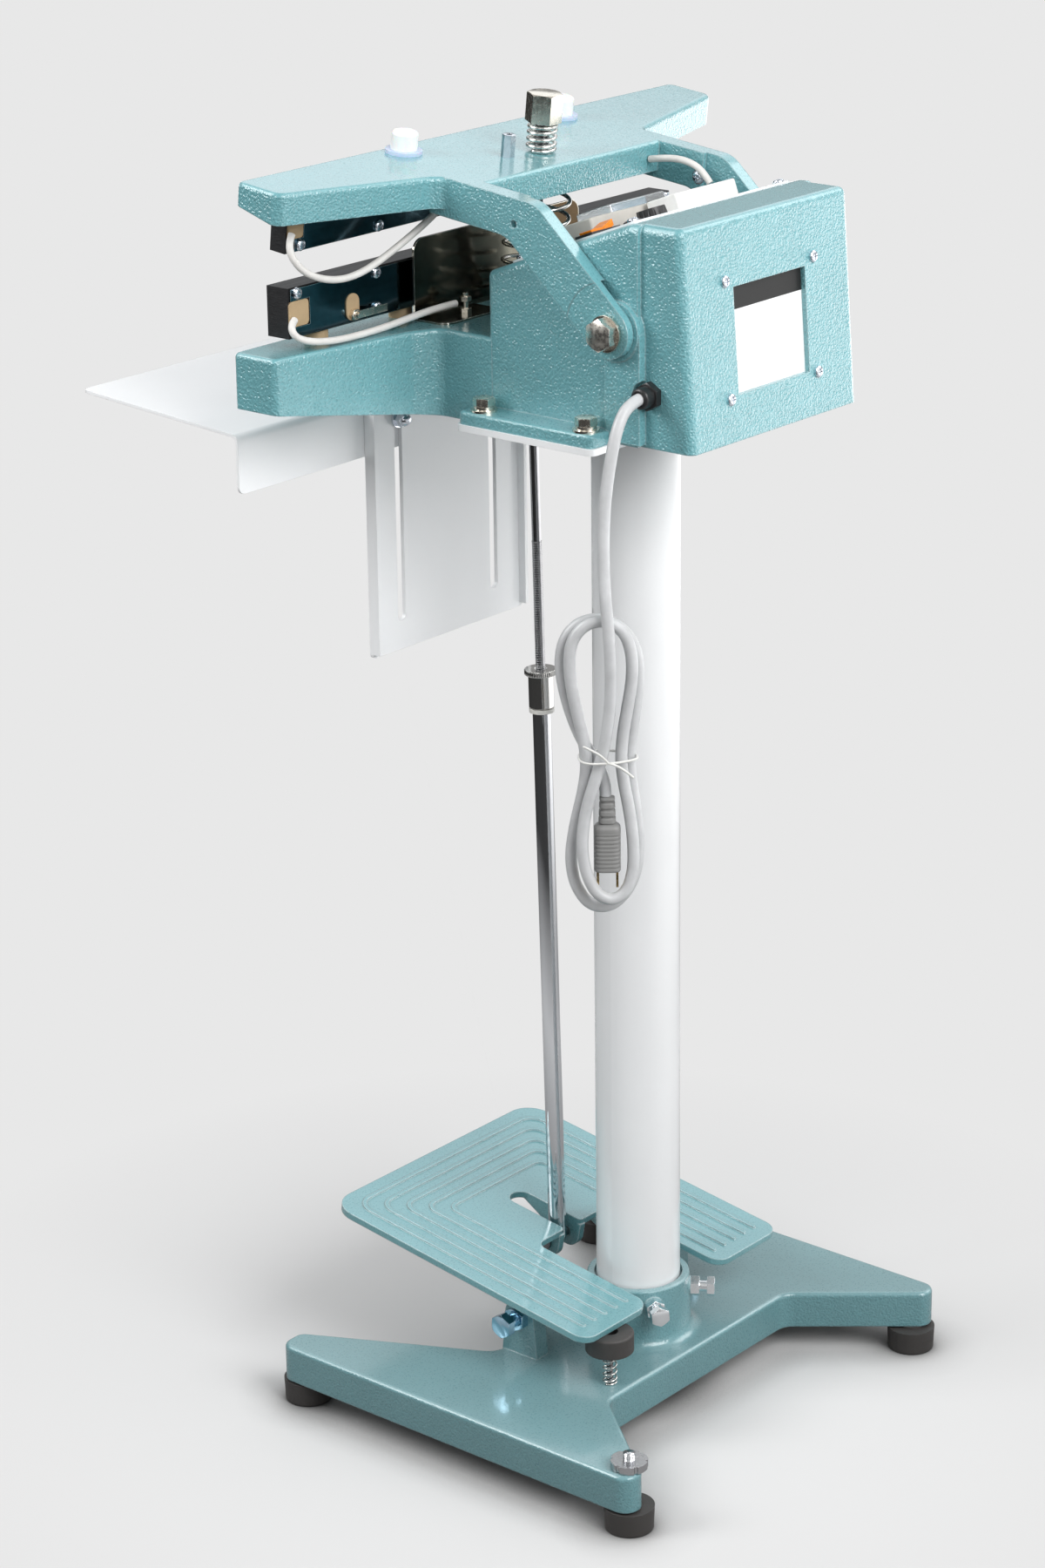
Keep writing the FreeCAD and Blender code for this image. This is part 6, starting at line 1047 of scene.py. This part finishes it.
class HeatSealerFinish(bpy.types.PropertyGroup):
    """Colours and textures of the finishes"""
    enamel: colour_property("Enamel", "Colour of the castings' hammered enamel", (0.150, 0.375, 0.410))
    # a darker copy of the casting enamel: painted shade for the base near the floor
    shaded_base_enamel: colour_property("Shaded base enamel", "Colour of the base's enamel", (0.135, 0.300, 0.328))
    coat: colour_property("Coat", "Colour of the powder coated steel", (0.84, 0.85, 0.86))
    cord: colour_property("Cord", "Colour of the mains cord", (0.60, 0.61, 0.62))
    plug: colour_property("Plug", "Colour of the plug", (0.27, 0.27, 0.265))
    peel_depth: FloatProperty(name="Peel depth", description="Depth of the enamel's hammered skin",
                              default=0.00052, min=0, unit="LENGTH")
    peel_scale: FloatProperty(name="Peel scale", description="Hammered cells in a metre",
                              default=620.0, min=1)


class HeatSealerSizes(bpy.types.PropertyGroup):
    """Sizes of the pieces that are wound"""
    return_radius: FloatProperty(name="Return spring", description="Radius of the return spring's line",
                                 default=0.0216, min=0.005, unit="LENGTH")
    pressure_radius: FloatProperty(name="Pressure spring", description="Radius of the pressure spring's line",
                                   default=0.0092, min=0.002, unit="LENGTH")


class HeatSealerStage(bpy.types.PropertyGroup):
    """Strengths of the lamps"""
    key: power_property("Key", "Power of the soft box at the machine's back", 52.0)
    back: power_property("Back", "Power of the soft box opposite the camera", 13.5)
    fill: power_property("Fill", "Power of the soft box at the camera", 6.5)
    side: power_property("Side", "Power of the soft box beside the head", 20.0)


STEPS = (Camera, MainsCord, HeaterLeads, Springs, Threads, Castings, SheetSteel, Hardware, Bars, Controls,
         Stage)
SETTINGS = {"heat_sealer_finish": HeatSealerFinish, "heat_sealer_sizes": HeatSealerSizes,
            "heat_sealer_stage": HeatSealerStage}


class HeatSealerPanel(bpy.types.Panel):
    """Lists the heat sealer's settings and steps"""
    bl_idname = "HEATSEALER_PT_panel"
    bl_label = "Heat sealer"
    bl_space_type = "VIEW_3D"
    bl_region_type = "UI"
    bl_category = "Heat sealer"

    def draw(self, context):
        for settings in SETTINGS:
            group = getattr(context.scene, settings)
            for name in group.__annotations__:
                self.layout.prop(group, name)
        for step in STEPS:
            self.layout.operator(step.bl_idname)


def register():
    for made in (*SETTINGS.values(), *STEPS, HeatSealerPanel):
        bpy.utils.register_class(made)
    for name, group in SETTINGS.items():
        setattr(bpy.types.Scene, name, PointerProperty(type=group))


def unregister():
    for name in SETTINGS:
        delattr(bpy.types.Scene, name)
    for made in (HeatSealerPanel, *reversed(STEPS), *SETTINGS.values()):
        bpy.utils.unregister_class(made)


def main():
    register()
    for step in STEPS:
        getattr(bpy.ops.heatsealer, step.bl_idname.split(".")[1])()


if __name__ == "__main__":
    main()
